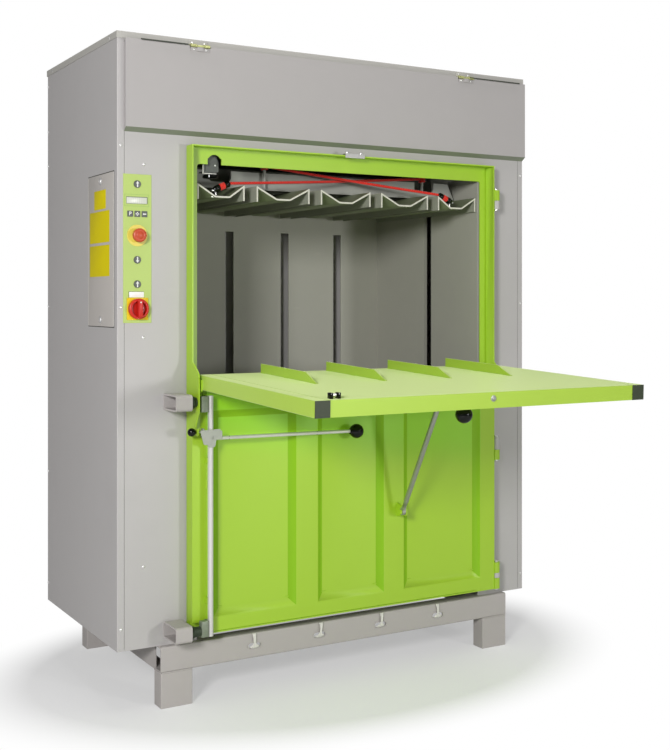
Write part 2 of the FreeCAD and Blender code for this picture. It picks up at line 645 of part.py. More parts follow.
# ---------------------------------------------------------------------------
# Hood in front of the power unit, hung on two leaf hinges
# ---------------------------------------------------------------------------
hood_left_end = "0 - half_wide + hood_left"
chin = [("0 - hood_out", "base_top + hood_high"),
        ("0 - hood_out", "base_top + hood_low + hood_chin"),
        ("0 - hood_gap", "base_top + hood_low"),
        ("0 - hood_gap", "base_top + hood_low + hood_sheet"),
        ("hood_sheet - hood_out", "base_top + hood_low + hood_chin + hood_sheet/2"),
        ("hood_sheet - hood_out", "base_top + hood_high")]
hood_face = outline("yz", (hood_left_end, "0", "0"),
                    "casing_wide - hood_left - skin", chin)
cheek = [("0 - hood_out", "base_top + hood_high"),
         ("0 - hood_out", "base_top + hood_low + hood_chin"),
         ("0 - hood_gap", "base_top + hood_low"),
         ("0 - hood_gap", "base_top + hood_high - hood_slope")]
hood_ends = [outline("yz", (x, "0", "0"), "hood_sheet", cheek)
             for x in (hood_left_end, "half_wide - skin - hood_sheet")]
LEAVES = ("0 - leaf_left", "leaf_right")
hinge_z = "(base_top + leaf_up)"
leaf_notches = [box(("%s - leaf_wide/2 - 1" % x, "0 - hood_out - 1", hinge_z + " - 2*leaf_knuckle"),
                    ("leaf_wide + 2", "hood_out + 2", "4*leaf_knuckle")) for x in LEAVES]
hood_shell = cut(fuse(hood_face, *hood_ends), *leaf_notches)

fixed_leaves = []
moving_leaves = []
for x in LEAVES:
    low = "%s - leaf_wide/2" % x
    third = "leaf_wide/3"
    fixed_leaves.append(fuse(
        box((low, "0 - lid_out - leaf_thick", hinge_z + " + leaf_knuckle"),
            ("leaf_wide", "leaf_thick", "casing_top - %s - leaf_knuckle - leaf_top_gap" % hinge_z)),
        box((low, "0 - hood_axis_out", hinge_z), (third, "hood_axis_out - lid_out", "leaf_knuckle + 2")),
        box((low + " + 2*leaf_wide/3", "0 - hood_axis_out", hinge_z),
            (third, "hood_axis_out - lid_out", "leaf_knuckle + 2")),
        bar("x", (low, "0 - hood_axis_out", hinge_z), "leaf_knuckle", third),
        bar("x", (low + " + 2*leaf_wide/3", "0 - hood_axis_out", hinge_z), "leaf_knuckle", third),
        bar("x", (low, "0 - hood_axis_out", hinge_z), "leaf_pin", "leaf_wide")))
    knuckle = fuse(
        bar("x", (low + " + leaf_wide/3 + running", "0 - hood_axis_out", hinge_z),
            "leaf_knuckle", "leaf_wide/3 - 2*running"),
        box((low + " + leaf_wide/3 + running", "0 - hood_axis_out - leaf_pin", hinge_z + " - leaf_tall"),
            ("leaf_wide/3 - 2*running", "hood_axis_out + leaf_pin - hood_out", "leaf_tall")),
        box((low, "0 - hood_out - leaf_thick", hinge_z + " - leaf_tall"),
            ("leaf_wide", "leaf_thick", "leaf_tall - leaf_knuckle - 1")))
    moving_leaves.append(cut(knuckle, bar("x", (low, "0 - hood_axis_out", hinge_z),
                                          "leaf_pin + pin_fit", "leaf_wide")))
subpart("hood_hinge_leaves", "machine", *fixed_leaves)
subpart("hood", "machine", hood_shell, *moving_leaves)

# ---------------------------------------------------------------------------
# Door: welded frame, back plate, pressed lower panel
# ---------------------------------------------------------------------------
ring_outer = box(("door_left", "door_front", "door_low"), ("door_wide", "door_deep", "door_tall"))
ring_inner = box(("door_left + door_plate", "door_front - 1", "door_low + door_plate"),
                 ("door_wide - 2*door_plate", "door_deep + 2", "door_tall - 2*door_plate"))
latch_notch = box(("chamber_shift - latch_slot/2", "door_front - 1", "door_high - door_plate - 1"),
                  ("latch_slot", "door_deep - 2*door_plate", "door_plate + 2"))
lock_notch = box(("door_left - 1", "door_front - 1", "door_low - 1"),
                 ("stile_left + 1", "door_deep - 2*door_plate", "lock_notch + 1"))
stile_low = "door_low + lock_notch"
stile_high = "base_top + opening_low - panel_top"
left_stile = box(("door_left", "door_front", stile_low),
                 ("stile_left", "door_plate", "%s - (%s)" % (stile_high, stile_low)))
right_stile = box(("door_right - stile_right", "door_front", "door_low"),
                  ("stile_right", "door_plate", "%s - door_low" % stile_high))
cheek_points = [("door_front + 1", "base_top + cheek_low"),
                ("door_front - cheek_out", "base_top + cheek_low + cheek_taper"),
                ("door_front - cheek_out", "base_top + cheek_high - cheek_taper"),
                ("door_front + 1", "base_top + cheek_high")]
cheeks = [outline("yz", (x, "0", "0"), "door_plate", cheek_points, [((1, 2), "cheek_taper*0.6")])
          for x in ("door_left", "door_right - door_plate")]
pivot_gap = "(door_wide - flap_wide)/2 - door_plate"
pivot_pins = [bar("x", (x, "0 - flap_axis_out", "flap_axis_z"), "lug_bore", pivot_gap)
              for x in ("door_left + door_plate",
                        "door_right - door_plate - (%s)" % pivot_gap)]
lug_notches = [box((x, "door_front - 1", "flap_axis_z - lug_round - 2"),
                   ("%s + 1" % pivot_gap, "door_plate + 2", "lug_round + 4"))
               for x in ("door_left + door_plate", "flap_right - 1")]
catch_y = "0 - lock_out"
catch_z = "base_top + catch_up"
boss_reach = "lock_out + catch_boss + door_front"
catch_carrier = cut(box(("door_left", "0 - lock_out - catch_boss", catch_z + " - catch_boss"),
                        ("door_plate", boss_reach, "2*catch_boss")),
                    bar("x", ("door_left - 1", catch_y, catch_z), "catch_round + running",
                        "door_plate + 2"))
subpart("door_frame", "machine",
        fuse(cut(fuse(cut(ring_outer, ring_inner), left_stile, right_stile, *cheeks),
                 latch_notch, lock_notch, *lug_notches),
             catch_carrier, *pivot_pins))

plate_front = "0 - door_off - door_plate"
door_back = box(("door_left + door_plate", plate_front, "door_low + door_plate"),
                ("door_wide - 2*door_plate", "door_plate", "door_tall - 2*door_plate"))
fill_outline = [("opening_left", "base_top + opening_low"), ("opening_right", "base_top + opening_low"),
                ("opening_right", "base_top + opening_high"), ("opening_left", "base_top + opening_high")]
fill_hole = outline("xz", ("0", "0 - door_off + 1", "0"), "door_plate + 2", fill_outline,
                    [((0, 1, 2, 3), "opening_corner")])
arch_x = "(chamber_shift - notch_side)"
arch = fuse(box((arch_x + " - notch_wide/2", plate_front + " - 1", "base_top + opening_high - 1"),
                ("notch_wide", "door_plate + 2", "notch_tall + 1 - notch_wide/4")),
            bar("y", (arch_x, plate_front + " - 1", "base_top + opening_high + notch_tall - notch_wide/2"),
                "notch_wide/2", "door_plate + 2"))
subpart("door_back_plate", "machine", cut(door_back, fill_hole, arch))

# the pressed panel: three sunk fields between two ribs, with sloped sides
panel_left = "door_left + stile_left"
panel_wide = "door_wide - stile_left - stile_right"
panel_low = "door_low + door_plate"
panel_tall_door = "%s - (%s)" % (stile_high, panel_low)
fold = "panel_skin*tan(atan(field_deep/field_run)/2)"
rib_left = "(chamber_shift - rib_one)"
rib_right = "(chamber_shift + rib_two)"
FIELDS = [("%s + field_margin" % panel_left, rib_left + " - rib_wide/2"),
          (rib_left + " + rib_wide/2", rib_right + " - rib_wide/2"),
          (rib_right + " + rib_wide/2", "door_right - stile_right - field_margin + field_run")]


def sunk_fields(front, grow):
    tools = []
    low = "door_low + field_low"
    high = "%s - field_top" % stile_high
    for left, right in FIELDS:
        mouth = ("%s - %s" % (left, grow), "%s + %s" % (right, grow),
                 "%s - %s" % (low, grow), "%s + %s" % (high, grow))
        floor = ("%s - %s + field_run" % (left, grow), "%s + %s - field_run" % (right, grow),
                 "%s - %s + field_run" % (low, grow), "%s + %s - field_run" % (high, grow))
        tools.append(frustum(front, "%s + field_deep" % front, mouth, floor))
    return tools


shell = box((panel_left, "door_front", panel_low),
            (panel_wide, "door_deep - door_plate", panel_tall_door))
core = box(("%s + panel_skin" % panel_left, "door_front + panel_skin", "%s + panel_skin" % panel_low),
           ("%s - 2*panel_skin" % panel_wide, "door_deep", "%s - 2*panel_skin" % panel_tall_door))
subpart("door_panel", "machine",
        cut(cut(shell, *sunk_fields("door_front", "0")),
            cut(core, *sunk_fields("door_front + panel_skin", fold))))

subpart("strike_plate", "machine",
        fuse(box(("chamber_shift - strike_wide/2", "door_front - strike_thick", "base_top + strike_up"),
                 ("strike_wide", "strike_thick", "strike_tall")),
             box(("chamber_shift - strike_wide/2", "door_front - strike_thick", "door_high"),
                 ("strike_wide", "strike_deep + strike_thick",
                  "base_top + strike_up + strike_tall - door_high"))))


# ---------------------------------------------------------------------------
# Door hinges: lugs with bores on the door, lugs with fixed pins on the casing
# ---------------------------------------------------------------------------
def door_lug(low, high):
    tall = "%s - %s" % (high, low)
    block = box(("door_right", "0 - hinge_out - knuckle", "base_top + " + low),
                ("hinge_side", "2*knuckle", tall))
    eye = bar("z", ("hinge_x", "0 - hinge_out", "base_top + " + low), "knuckle", tall)
    bore = bar("z", ("hinge_x", "0 - hinge_out", "base_top + %s - 1" % low),
               "hinge_pin + pin_fit", tall + " + 2")
    return cut(fuse(block, eye), bore)


def casing_lug(low, high, pin_low, pin_high):
    tall = "%s - %s" % (high, low)
    block = box(("hinge_x - knuckle", "0 - hinge_out", "base_top + " + low),
                ("2*knuckle", "hinge_out", tall))
    eye = bar("z", ("hinge_x", "0 - hinge_out", "base_top + " + low), "knuckle", tall)
    pin = bar("z", ("hinge_x", "0 - hinge_out", "base_top + %s" % pin_low), "hinge_pin",
              "%s - (%s)" % (pin_high, pin_low))
    return fuse(block, eye, pin)


subpart("door_hinge_lugs", "machine",
        door_lug("hinge_a_low", "(hinge_a_split - knuckle_fit)"),
        door_lug("(hinge_a_next + knuckle_fit)", "hinge_a_high"),
        door_lug("hinge_b_low", "(hinge_b_split - knuckle_fit)"),
        door_lug("(hinge_c_split + knuckle_fit)", "hinge_c_high"))
subpart("casing_hinge_lugs", "machine",
        casing_lug("hinge_a_split", "hinge_a_next", "hinge_a_low - pin_stick",
                   "hinge_a_high + pin_stick"),
        casing_lug("hinge_b_split", "hinge_b_high", "hinge_b_low - pin_stick",
                   "hinge_b_high + pin_stick"),
        casing_lug("hinge_c_low", "hinge_c_split", "hinge_c_low - pin_stick",
                   "hinge_c_high + pin_stick"))

# ---------------------------------------------------------------------------
# Loading flap, laid out flat from its hinge line: front is -y, up is its inside
# ---------------------------------------------------------------------------
def flap_tube(x):
    outer = box((x, "0 - flap_long", "0"), ("flap_thick", "flap_long", "flap_thick"))
    inner = box((x + " + flap_tube_wall", "0 - flap_long - 1", "flap_tube_wall"),
                ("flap_thick - 2*flap_tube_wall", "flap_long + 2", "flap_thick - 2*flap_tube_wall"))
    return cut(outer, inner)


subpart("flap_tubes", "flap", flap_tube("flap_left"), flap_tube("flap_right - flap_thick"))

tray_left = "(chamber_shift - flap_wide/2 + flap_thick)"
tray_wide = "flap_wide - 2*flap_thick"
tray = [("0", "flap_thick"), ("0 - flap_long", "flap_thick"), ("0 - flap_long", "0"),
        ("flap_sheet - flap_long", "0"), ("flap_sheet - flap_long", "flap_thick - flap_sheet"),
        ("0 - flap_sheet", "flap_thick - flap_sheet"), ("0 - flap_sheet", "0"), ("0", "0")]
bolt_hole = bar("y", ("chamber_shift", "0 - flap_long - 1", "bolt_up"),
                "bolt_round + running", "flap_sheet + 2")
flap_tray = cut(outline("yz", (tray_left, "0", "0"), tray_wide, tray), bolt_hole)
knob_slot = box(("chamber_shift - stem_round - 1", "0 - flap_long + knob_back - stem_round - 1", "0"),
                ("2*stem_round + 2", "2*stem_round + bolt_travel + 2", "flap_inset + 3*flap_sheet"))
subpart("flap_outer_skin", "flap",
        cut(box((tray_left, "flap_sheet - flap_long", "flap_inset"),
                (tray_wide, "flap_long - 2*flap_sheet", "flap_sheet")), knob_slot))

fins = []
for k in STRAPS:
    side = [("0 - fin_start", "flap_thick"), ("0 - fin_start", "flap_thick + fin_tall"),
            ("fin_front - fin_start - fin_long", "flap_thick + fin_tall"),
            ("0 - fin_start - fin_long", "flap_thick")]
    fins.append(outline("yz", ("%s - fin_thick/2" % strap_x(k), "0", "0"), "fin_thick", side))
subpart("flap_fins", "flap", *fins)

plugs = []
for x in ("flap_left", "flap_right - flap_thick"):
    plugs.append(fuse(
        box((x, "0 - flap_long - plug_long", "0"), ("flap_thick", "plug_long", "flap_thick")),
        box((x + " + flap_tube_wall + plug_fit", "0 - flap_long", "flap_tube_wall + plug_fit"),
            ("flap_thick - 2*flap_tube_wall - 2*plug_fit", "plug_deep",
             "flap_thick - 2*flap_tube_wall - 2*plug_fit"))))
subpart("flap_end_plugs", "flap", *plugs)

actuator_x = "(chamber_shift - actuator_side)"
actuator_y = "(actuator_back - flap_long)"
subpart("flap_switch_actuator", "flap",
        box((actuator_x + " - actuator_long/2", actuator_y, "flap_thick"),
            ("actuator_long*0.3", "actuator_deep", "actuator_tall")),
        box((actuator_x + " + actuator_long*0.2", actuator_y, "flap_thick"),
            ("actuator_long*0.3", "actuator_deep", "actuator_tall")),
        fuse(bar("x", (actuator_x + " - actuator_long*0.2", actuator_y + " + actuator_deep/2",
                       "flap_thick + actuator_tall*0.6"), "actuator_deep*0.28", "actuator_long*0.4")))

# pivots: lugs under the tube ends turn on pins fixed in the door's cheeks
lugs = []
for x in ("flap_left - lug_thick", "flap_right"):
    side = [("0 - lug_long", "0 - 2"), ("0 - lug_long", "flap_thick*0.7"), ("0 - 2", "flap_thick*0.7"),
            ("lug_round*0.7", "lug_round*0.7"), ("lug_round", "0"), ("lug_round*0.7", "0 - lug_round*0.7"),
            ("0", "0 - lug_round"), ("0 - lug_round", "0 - lug_round*0.7")]
    plate = outline("yz", (x, "0", "0"), "lug_thick", side)
    lugs.append(cut(plate, bar("x", (x + " - 1", "0", "0"), "lug_bore + pin_fit", "lug_thick + 2")))
subpart("flap_pivot_lugs", "flap", *lugs)

# ---------------------------------------------------------------------------
# Flap latch: sprung bolt with a ball knob under the flap
# ---------------------------------------------------------------------------
bolt_end = "(0 - flap_long - bolt_out)"
knob_y = "(knob_back - flap_long)"
latch_rod = fuse(bar("y", ("chamber_shift", bolt_end, "bolt_up"), "bolt_round", "bolt_long"),
                 bar("z", ("chamber_shift", knob_y, "0 - knob_drop + knob_round*0.8"),
                     "stem_round", "knob_drop - knob_round*0.8 + bolt_up"))
latch_knob = cut(ball(("chamber_shift", knob_y, "0 - knob_drop"), "knob_round"),
                 bar("z", ("chamber_shift", knob_y, "0 - knob_drop + knob_round*0.8"),
                     "stem_round", "knob_round"))
subpart("latch_bolt", "flap", latch_rod, latch_knob)
blocks = []
for y in ("flap_sheet - flap_long", "knob_back + 2*stem_round + bolt_travel - flap_long"):
    block = box(("chamber_shift - guide_block/2", y, "flap_inset + flap_sheet"),
                ("guide_block", "guide_block/2", "flap_thick - flap_inset - 2*flap_sheet"))
    blocks.append(cut(block, bar("y", ("chamber_shift", y + " - 1", "bolt_up"),
                                 "bolt_round + running", "guide_block/2 + 2")))
subpart("flap_panel", "flap", flap_tray, *blocks)

# ---------------------------------------------------------------------------
# Strut that holds the open flap: along its own axis from the door foot
# ---------------------------------------------------------------------------
eye_x = "0 - strut_eye_thick/2"
tube_start = "2*strut_eye_round"
gland_z = "strut_tube_long"
tube = fuse(bar("x", (eye_x, "0", "0"), "strut_eye_round", "strut_eye_thick"),
            box(("0 - strut_eye_thick/2", "0 - strut_eye_round*0.6", "0"),
                ("strut_eye_thick", "strut_eye_round*1.2", tube_start)),
            bar("z", ("0", "0", tube_start), "strut_tube_round", gland_z + " - (%s)" % tube_start))
rod_bore = bar("z", ("0", "0", "strut_stop"), "strut_rod_round + strut_fit", "strut_tube_long")
foot_bore = bar("x", ("0 - strut_eye_thick", "0", "0"), "strut_pin_round + pin_fit", "2*strut_eye_thick")
subpart("strut_tube", "strut", cut(tube, rod_bore, foot_bore))
rod_low = "strut_stop + 4*strut_rod_round"
rod = fuse(bar("z", ("0", "0", rod_low), "strut_rod_round", "strut_span - (%s)" % rod_low),
           bar("x", (eye_x, "0", "strut_span"), "strut_eye_round", "strut_eye_thick"),
           bar("x", ("0 - strut_eye_thick/2 - pin_head", "0", "strut_span"), "strut_eye_round*0.6",
               "pin_head"))
subpart("strut_rod", "strut", rod)

foot_x = "strut_x + strut_eye_thick/2 + strut_gap"
rib_face = "door_front"
foot_nose = "0 - strut_foot_out - bracket_half*0.8"
foot_plate = outline("yz", (foot_x, "0", "0"), "bracket_plate",
                     [(foot_nose, "base_top + strut_foot_up - bracket_half*0.8"),
                      (rib_face, "base_top + strut_foot_up - 1.4*bracket_half"),
                      (rib_face, "base_top + strut_foot_up + 1.4*bracket_half"),
                      (foot_nose, "base_top + strut_foot_up + bracket_half*0.8")],
                     [((0, 3), "bracket_half*0.7")])
foot_flange = box((foot_x + " + bracket_plate", rib_face + " - bracket_plate",
                   "base_top + strut_foot_up - 1.4*bracket_half"),
                  ("2*bracket_half", "bracket_plate", "2.8*bracket_half"))
foot_pin = bar("x", ("strut_x - strut_eye_thick/2 - pin_head", "0 - strut_foot_out",
                     "base_top + strut_foot_up"),
               "strut_pin_round", "strut_eye_thick + strut_gap + bracket_plate + 2*pin_head")
foot_nut = bar("x", (foot_x + " + bracket_plate", "0 - strut_foot_out", "base_top + strut_foot_up"),
               "strut_pin_round*1.6", "pin_head")
foot_head = bar("x", ("strut_x - strut_eye_thick/2 - strut_gap - pin_head", "0 - strut_foot_out",
                      "base_top + strut_foot_up"),
                "strut_pin_round*1.6", "pin_head")
subpart("strut_foot_bracket", "machine", fuse(foot_plate, foot_flange, foot_pin, foot_nut, foot_head))

head_x = "strut_x + strut_eye_thick/2 + strut_gap"
head_plate = outline("yz", (head_x, "0", "0"), "bracket_plate",
                     [("0 - strut_head_out - bracket_half", "0 - strut_head_drop - bracket_half*0.8"),
                      ("bracket_half - strut_head_out", "0 - strut_head_drop - bracket_half*0.8"),
                      ("bracket_half*1.8 - strut_head_out", "flap_inset"),
                      ("0 - strut_head_out - bracket_half*1.8", "flap_inset")],
                     [((0, 1), "bracket_half*0.6")])
head_nut = bar("x", (head_x + " + bracket_plate", "0 - strut_head_out", "0 - strut_head_drop"),
               "strut_pin_round*1.6", "pin_head")
subpart("strut_head_bracket", "flap", fuse(head_plate, head_nut))

# ---------------------------------------------------------------------------
# Door lock: turning rod with two claws, its hub, bar and ball
# ---------------------------------------------------------------------------
lock_y = "0 - lock_out"
rod_foot = "base_top + lock_low"
subpart("lock_rod", "machine",
        bar("z", ("lock_x", lock_y, rod_foot), "lock_round", "lock_high - lock_low"))
claws = []
claw_tip = "(keeper_right + stud_long + lock_nose_gap)"
for z in ("keeper_low", "keeper_high"):
    low = "base_top + %s - claw_tall/2" % z
    body = fuse(bar("z", ("lock_x", lock_y, low), "claw_deep/2", "claw_tall"),
                box((claw_tip, lock_y + " - nose_deep/2", low),
                    ("lock_x - %s" % claw_tip, "nose_deep", "claw_tall")))
    throat = bar("z", (claw_tip, lock_y, low + " - 1"), "claw_hollow", "claw_tall + 2")
    claws.append(cut(body, throat, bar("z", ("lock_x", lock_y, low + " - 1"), "lock_round",
                                       "claw_tall + 2")))
subpart("lock_claws", "machine", *claws)

hub_y = "0 - lock_out - lock_round + hub_sunk"
hub_face = [("lock_x - hub_wide*0.45", "base_top + hub_up + hub_tall/2"),
            ("lock_x - hub_wide*0.4", "base_top + hub_up"),
            ("lock_x - hub_tip/2", "base_top + hub_up - hub_tall/2 - hub_taper"),
            ("lock_x + hub_tip/2", "base_top + hub_up - hub_tall/2 - hub_taper"),
            ("lock_x + hub_tip/2 + 4", "base_top + hub_up - hub_tall/2"),
            ("lock_x + hub_wide*0.55", "base_top + hub_up - hub_tall/2"),
            ("lock_x + hub_wide*0.55", "base_top + hub_up + hub_tall/2")]
hub_front = outline("xz", ("0", hub_y, "0"), "hub_plate", hub_face, [((2, 3), "hub_tip*0.45")])
hub_ear = box(("lock_x - hub_wide*0.45", hub_y, "base_top + hub_up - hub_tall/4"),
              ("hub_plate", "lock_round*2", "hub_tall*1.1"))
hub_collar = cut(bar("z", ("lock_x", lock_y, "base_top + hub_up - hub_tall/2"),
                     "lock_round + hub_plate", "hub_tall"),
                 bar("z", ("lock_x", lock_y, "base_top + hub_up - hub_tall/2 - 1"),
                     "lock_round", "hub_tall + 2"))
catch_hole = bar("x", ("lock_x - hub_wide", catch_y, catch_z), "catch_round + running",
                 "hub_wide*0.6")
lock_hub = cut(fuse(cut(hub_front, bar("z", ("lock_x", lock_y, rod_foot), "lock_round", "lock_high")),
                    hub_ear, hub_collar), catch_hole)
bar_start = "lock_x + lock_round + hub_plate/2"
bar_y = "0 - lock_out - bar_back"
handle_bar = bar("x", (bar_start, bar_y, "base_top + bar_up"), "bar_round",
                 "bar_long - lock_round - hub_plate/2")
subpart("lock_handle", "machine", fuse(lock_hub, handle_bar))
subpart("lock_ball", "machine",
        cut(ball(("lock_x + bar_long", bar_y, "base_top + bar_up"), "ball_round"),
            bar("x", ("lock_x", bar_y, "base_top + bar_up"), "bar_round", "bar_long")))
catch_end = "(lock_x - catch_out)"
catch_pin = bar("x", (catch_end, catch_y, catch_z), "catch_round",
                "catch_out - hub_wide*0.45 - lock_nose_gap")
catch_ball = cut(ball((catch_end, catch_y, catch_z), "catch_ball"),
                 bar("x", (catch_end, catch_y, catch_z), "catch_round", "catch_out"))
subpart("lock_catch", "machine", catch_pin, catch_ball)

saddles = []
for z in ("saddle_low", "saddle_high"):
    low = "base_top + " + z
    block = box(("lock_x - lock_round - saddle_wall", lock_y, low),
                ("2*lock_round + 2*saddle_wall", "lock_out + door_front", "saddle_tall"))
    ring = bar("z", ("lock_x", lock_y, low), "lock_round + saddle_wall", "saddle_tall")
    saddles.append(cut(fuse(block, ring), bar("z", ("lock_x", lock_y, low + " - 1"),
                                              "lock_round + saddle_fit", "saddle_tall + 2")))
subpart("lock_saddles", "machine", *saddles)

keepers = []
keeper_studs = []
for z in ("keeper_low", "keeper_high"):
    low = "base_top + %s - keeper_tall/2" % z
    square = [("0", "0"), ("0 - keeper_deep", "0"), ("0 - keeper_deep", "keeper_tall"), ("0", "keeper_tall")]
    inner = [("0 - keeper_wall", "keeper_wall"), ("keeper_wall - keeper_deep", "keeper_wall"),
             ("keeper_wall - keeper_deep", "keeper_tall - keeper_wall"),
             ("0 - keeper_wall", "keeper_tall - keeper_wall")]
    outer = outline("yz", ("keeper_left", "0", low), "keeper_long", square, [((0, 1, 2, 3), "keeper_corner")])
    hollow = outline("yz", ("keeper_left - 1", "0", low), "keeper_long + 2", inner,
                     [((0, 1, 2, 3), "keeper_corner - keeper_wall")])
    keepers.append(cut(outer, hollow))
    centre = "base_top + " + z
    reach = "stud_long" if z == "keeper_low" else "stud_short"
    keeper_studs.append(fuse(
        bar("x", ("keeper_right", lock_y, centre), "stud_round", reach),
        bar("x", ("keeper_right + cap_thick", lock_y, centre), "nut_round", "nut_thick"),
        box(("keeper_right", "keeper_corner/2 - keeper_deep",
             centre + " - keeper_tall/2 + keeper_corner/2"),
            ("cap_thick", "keeper_deep - keeper_corner", "keeper_tall - keeper_corner"))))
subpart("lock_keepers", "machine", *keepers, *keeper_studs)

# ---------------------------------------------------------------------------
# Press platen: five folded channels, open below, with strap gaps between them
# ---------------------------------------------------------------------------
platen_deep = "chamber_rear - platen_front - platen_rear"


def channel(left, right, valley):
    """One folded channel: two legs, two slopes and a flat valley between them."""
    top = "platen_top"
    low = "platen_low"
    half = "valley_wide/2"
    drop = "(channel_tall - valley_up - channel_sheet)"
    run_left = "((%s) - %s - (%s))" % (valley, half, left)
    run_right = "((%s) - (%s) - %s)" % (right, valley, half)
    points = [(left, low), (left, top)]
    points.append(("%s - %s" % (valley, half), "%s + valley_up + channel_sheet" % low))
    points.append(("%s + %s" % (valley, half), "%s + valley_up + channel_sheet" % low))
    points += [(right, top), (right, low), (right + " - channel_sheet", low)]
    slope = "(%s/%s)"
    for run, end in ((run_right, "right"), (run_left, "left")):
        steep = slope % (drop, run)
        under = "%s - channel_sheet*(%s + sqrt(1 + %s*%s))" % (top, steep, steep, steep)
        nick = "channel_sheet*tan(atan(%s)/2)" % steep
        if end == "right":
            points.append((right + " - channel_sheet", under))
            points.append(("%s + %s + %s" % (valley, half, nick), low + " + valley_up"))
        else:
            points.append(("%s - %s - %s" % (valley, half, nick), low + " + valley_up"))
            points.append((left + " + channel_sheet", under))
            points.append((left + " + channel_sheet", low))
    return outline("xz", ("0", "chamber_rear - platen_rear", "0"), platen_deep, points)


edges = ["chamber_left + platen_side"]
for k in STRAPS:
    edges += ["%s - channel_gap/2" % strap_x(k), "%s + channel_gap/2" % strap_x(k)]
edges.append("chamber_right - platen_side")
shifts = [" + edge_valley_shift", "", "", "", " - edge_valley_shift"]
channels = []
for i, shift in enumerate(shifts):
    left, right = edges[2 * i], edges[2 * i + 1]
    channels.append(channel(left, right, "((%s + %s)/2%s)" % (left, right, shift)))
subpart("platen_channels", "machine", *channels)

def cross_web(y):
    """Upright web on the channels, with two round-bottomed bays and sloped ends."""
    top = "platen_top + web_tall"
    low = top + " - bay_deep"
    left_bay = ("chamber_shift - bay_near - bay_wide", "chamber_shift - bay_near")
    right_bay = ("chamber_shift + bay_near", "chamber_shift + bay_near + bay_wide")
    points = [("chamber_shift - web_half", "platen_top"),
              ("chamber_shift - web_half + web_slope", top)]
    for near, far in (left_bay, right_bay):
        points += [(near, top), (near, low), (far, low), (far, top)]
    points += [("chamber_shift + web_half - web_slope", top),
               ("chamber_shift + web_half", "platen_top")]
    return outline("xz", ("0", y + " + web_thick", "0"), "web_thick", points,
                   [((3, 4, 7, 8), "bay_round")])


arm_y = "cylinder_y - arm_wide/2"
arm_left = "chamber_shift - cylinder_side + saddle_near + arm_block"
arm_span = "2*cylinder_side - 2*saddle_near - 2*arm_block"
arm_outer = box((arm_left, arm_y, "platen_top"), (arm_span, "arm_wide", "arm_tall"))
arm_inner = box((arm_left + " - 1", arm_y + " + arm_wall", "platen_top + arm_wall"),
                (arm_span + " + 2", "arm_wide - 2*arm_wall", "arm_tall - 2*arm_wall"))
crosshead_arm = cut(arm_outer, arm_inner)


def yoke(axis, inward):
    """Two plates either side of the cylinder, a top block and an arm block."""
    outer = "%s - (%s)*yoke_outer" % (axis, inward)
    inner = "%s + (%s)*yoke_inner" % (axis, inward)
    left = outer if inward == "1" else inner
    near = "%s + (%s)*saddle_near" % (axis, inward)
    block_left = near if inward == "1" else near + " - arm_block"
    low = "platen_top - yoke_below"
    wide = "yoke_outer + yoke_inner"
    pieces = [box((left, y, low), (wide, "yoke_plate", "base_top + yoke_top - (%s)" % low))
              for y in ("cylinder_y - yoke_half - yoke_plate", "cylinder_y + yoke_half")]
    pieces.append(box((axis + " - yoke_outer", "cylinder_y - yoke_half",
                       "base_top + yoke_top - yoke_block"),
                      ("yoke_outer*2", "2*yoke_half", "yoke_block")))
    pieces.append(box((block_left, "cylinder_y - yoke_half", "platen_top"),
                      ("arm_block", "2*yoke_half", "arm_tall")))
    return fuse(*pieces)


subpart("yokes", "machine", yoke("(chamber_shift - cylinder_side)", "1"),
        yoke("(chamber_shift + cylinder_side)", "-1"))

rods = []
cylinders = []
for sign in ("-", "+"):
    x = "chamber_shift %s cylinder_side" % sign
    piston_low = "base_top + cylinder_high - gland_tall - piston_tall - piston_gap"
    stem_top = "base_top + yoke_top - yoke_block"
    rods.append(fuse(
        bar("z", (x, "cylinder_y", piston_low), "cylinder_bore - running", "piston_tall"),
        bar("z", (x, "cylinder_y", piston_low), "rod_round", "%s - (%s)" % (stem_top, piston_low))))
    barrel = fuse(bar("z", (x, "cylinder_y", "base_top + cylinder_low"), "cylinder_round",
                      "cylinder_high - cylinder_low"),
                  bar("z", (x, "cylinder_y", "base_top + cylinder_high - gland_tall"), "gland_round",
                      "gland_tall"),
                  box((x + " - mount_block/2", "cylinder_y - mount_block/2",
                       "base_top + shelf_thick"),
                      ("mount_block", "mount_block", "cylinder_low - shelf_thick + 1")))
    bore = bar("z", (x, "cylinder_y", "base_top + cylinder_low + cylinder_base"), "cylinder_bore",
               "cylinder_high - cylinder_low - cylinder_base - gland_tall")
    rod_hole = bar("z", (x, "cylinder_y", "base_top + cylinder_high - gland_tall - 1"),
                   "rod_round + running", "gland_tall + 2")
    cylinders.append(cut(barrel, bore, rod_hole))
subpart("piston_rods", "machine", *rods)
subpart("press_cylinders", "machine", *cylinders)

# ---------------------------------------------------------------------------
# Elastic cords with hooks, tied from the platen's front to two posts
# ---------------------------------------------------------------------------
POSTS = [("-", "front_post_side", "front_post_y", "front_post_up"),
         ("+", "rear_post_side", "rear_post_y", "rear_post_up")]
posts = []
for sign, side, y, up in POSTS:
    x = "chamber_shift %s %s" % (sign, side)
    posts.append(bar("z", (x, y, "platen_top"), "post_round",
                     "platen_low + %s - cord_round - post_fit - platen_top" % up))
posts.append(box(("chamber_shift - front_post_side - post_round", "front_post_y", "platen_top"),
                 ("2*post_round", "web_front - front_post_y", "2*post_round")))
posts.append(box(("chamber_shift + rear_post_side - post_round", "web_front + web_thick",
                  "platen_top"),
                 ("2*post_round", "rear_post_y - web_front - web_thick", "2*post_round")))
subpart("crosshead", "machine", cross_web("web_front"), cross_web("web_rear"), crosshead_arm,
        fuse(posts[0], posts[2]), fuse(posts[1], posts[3]))


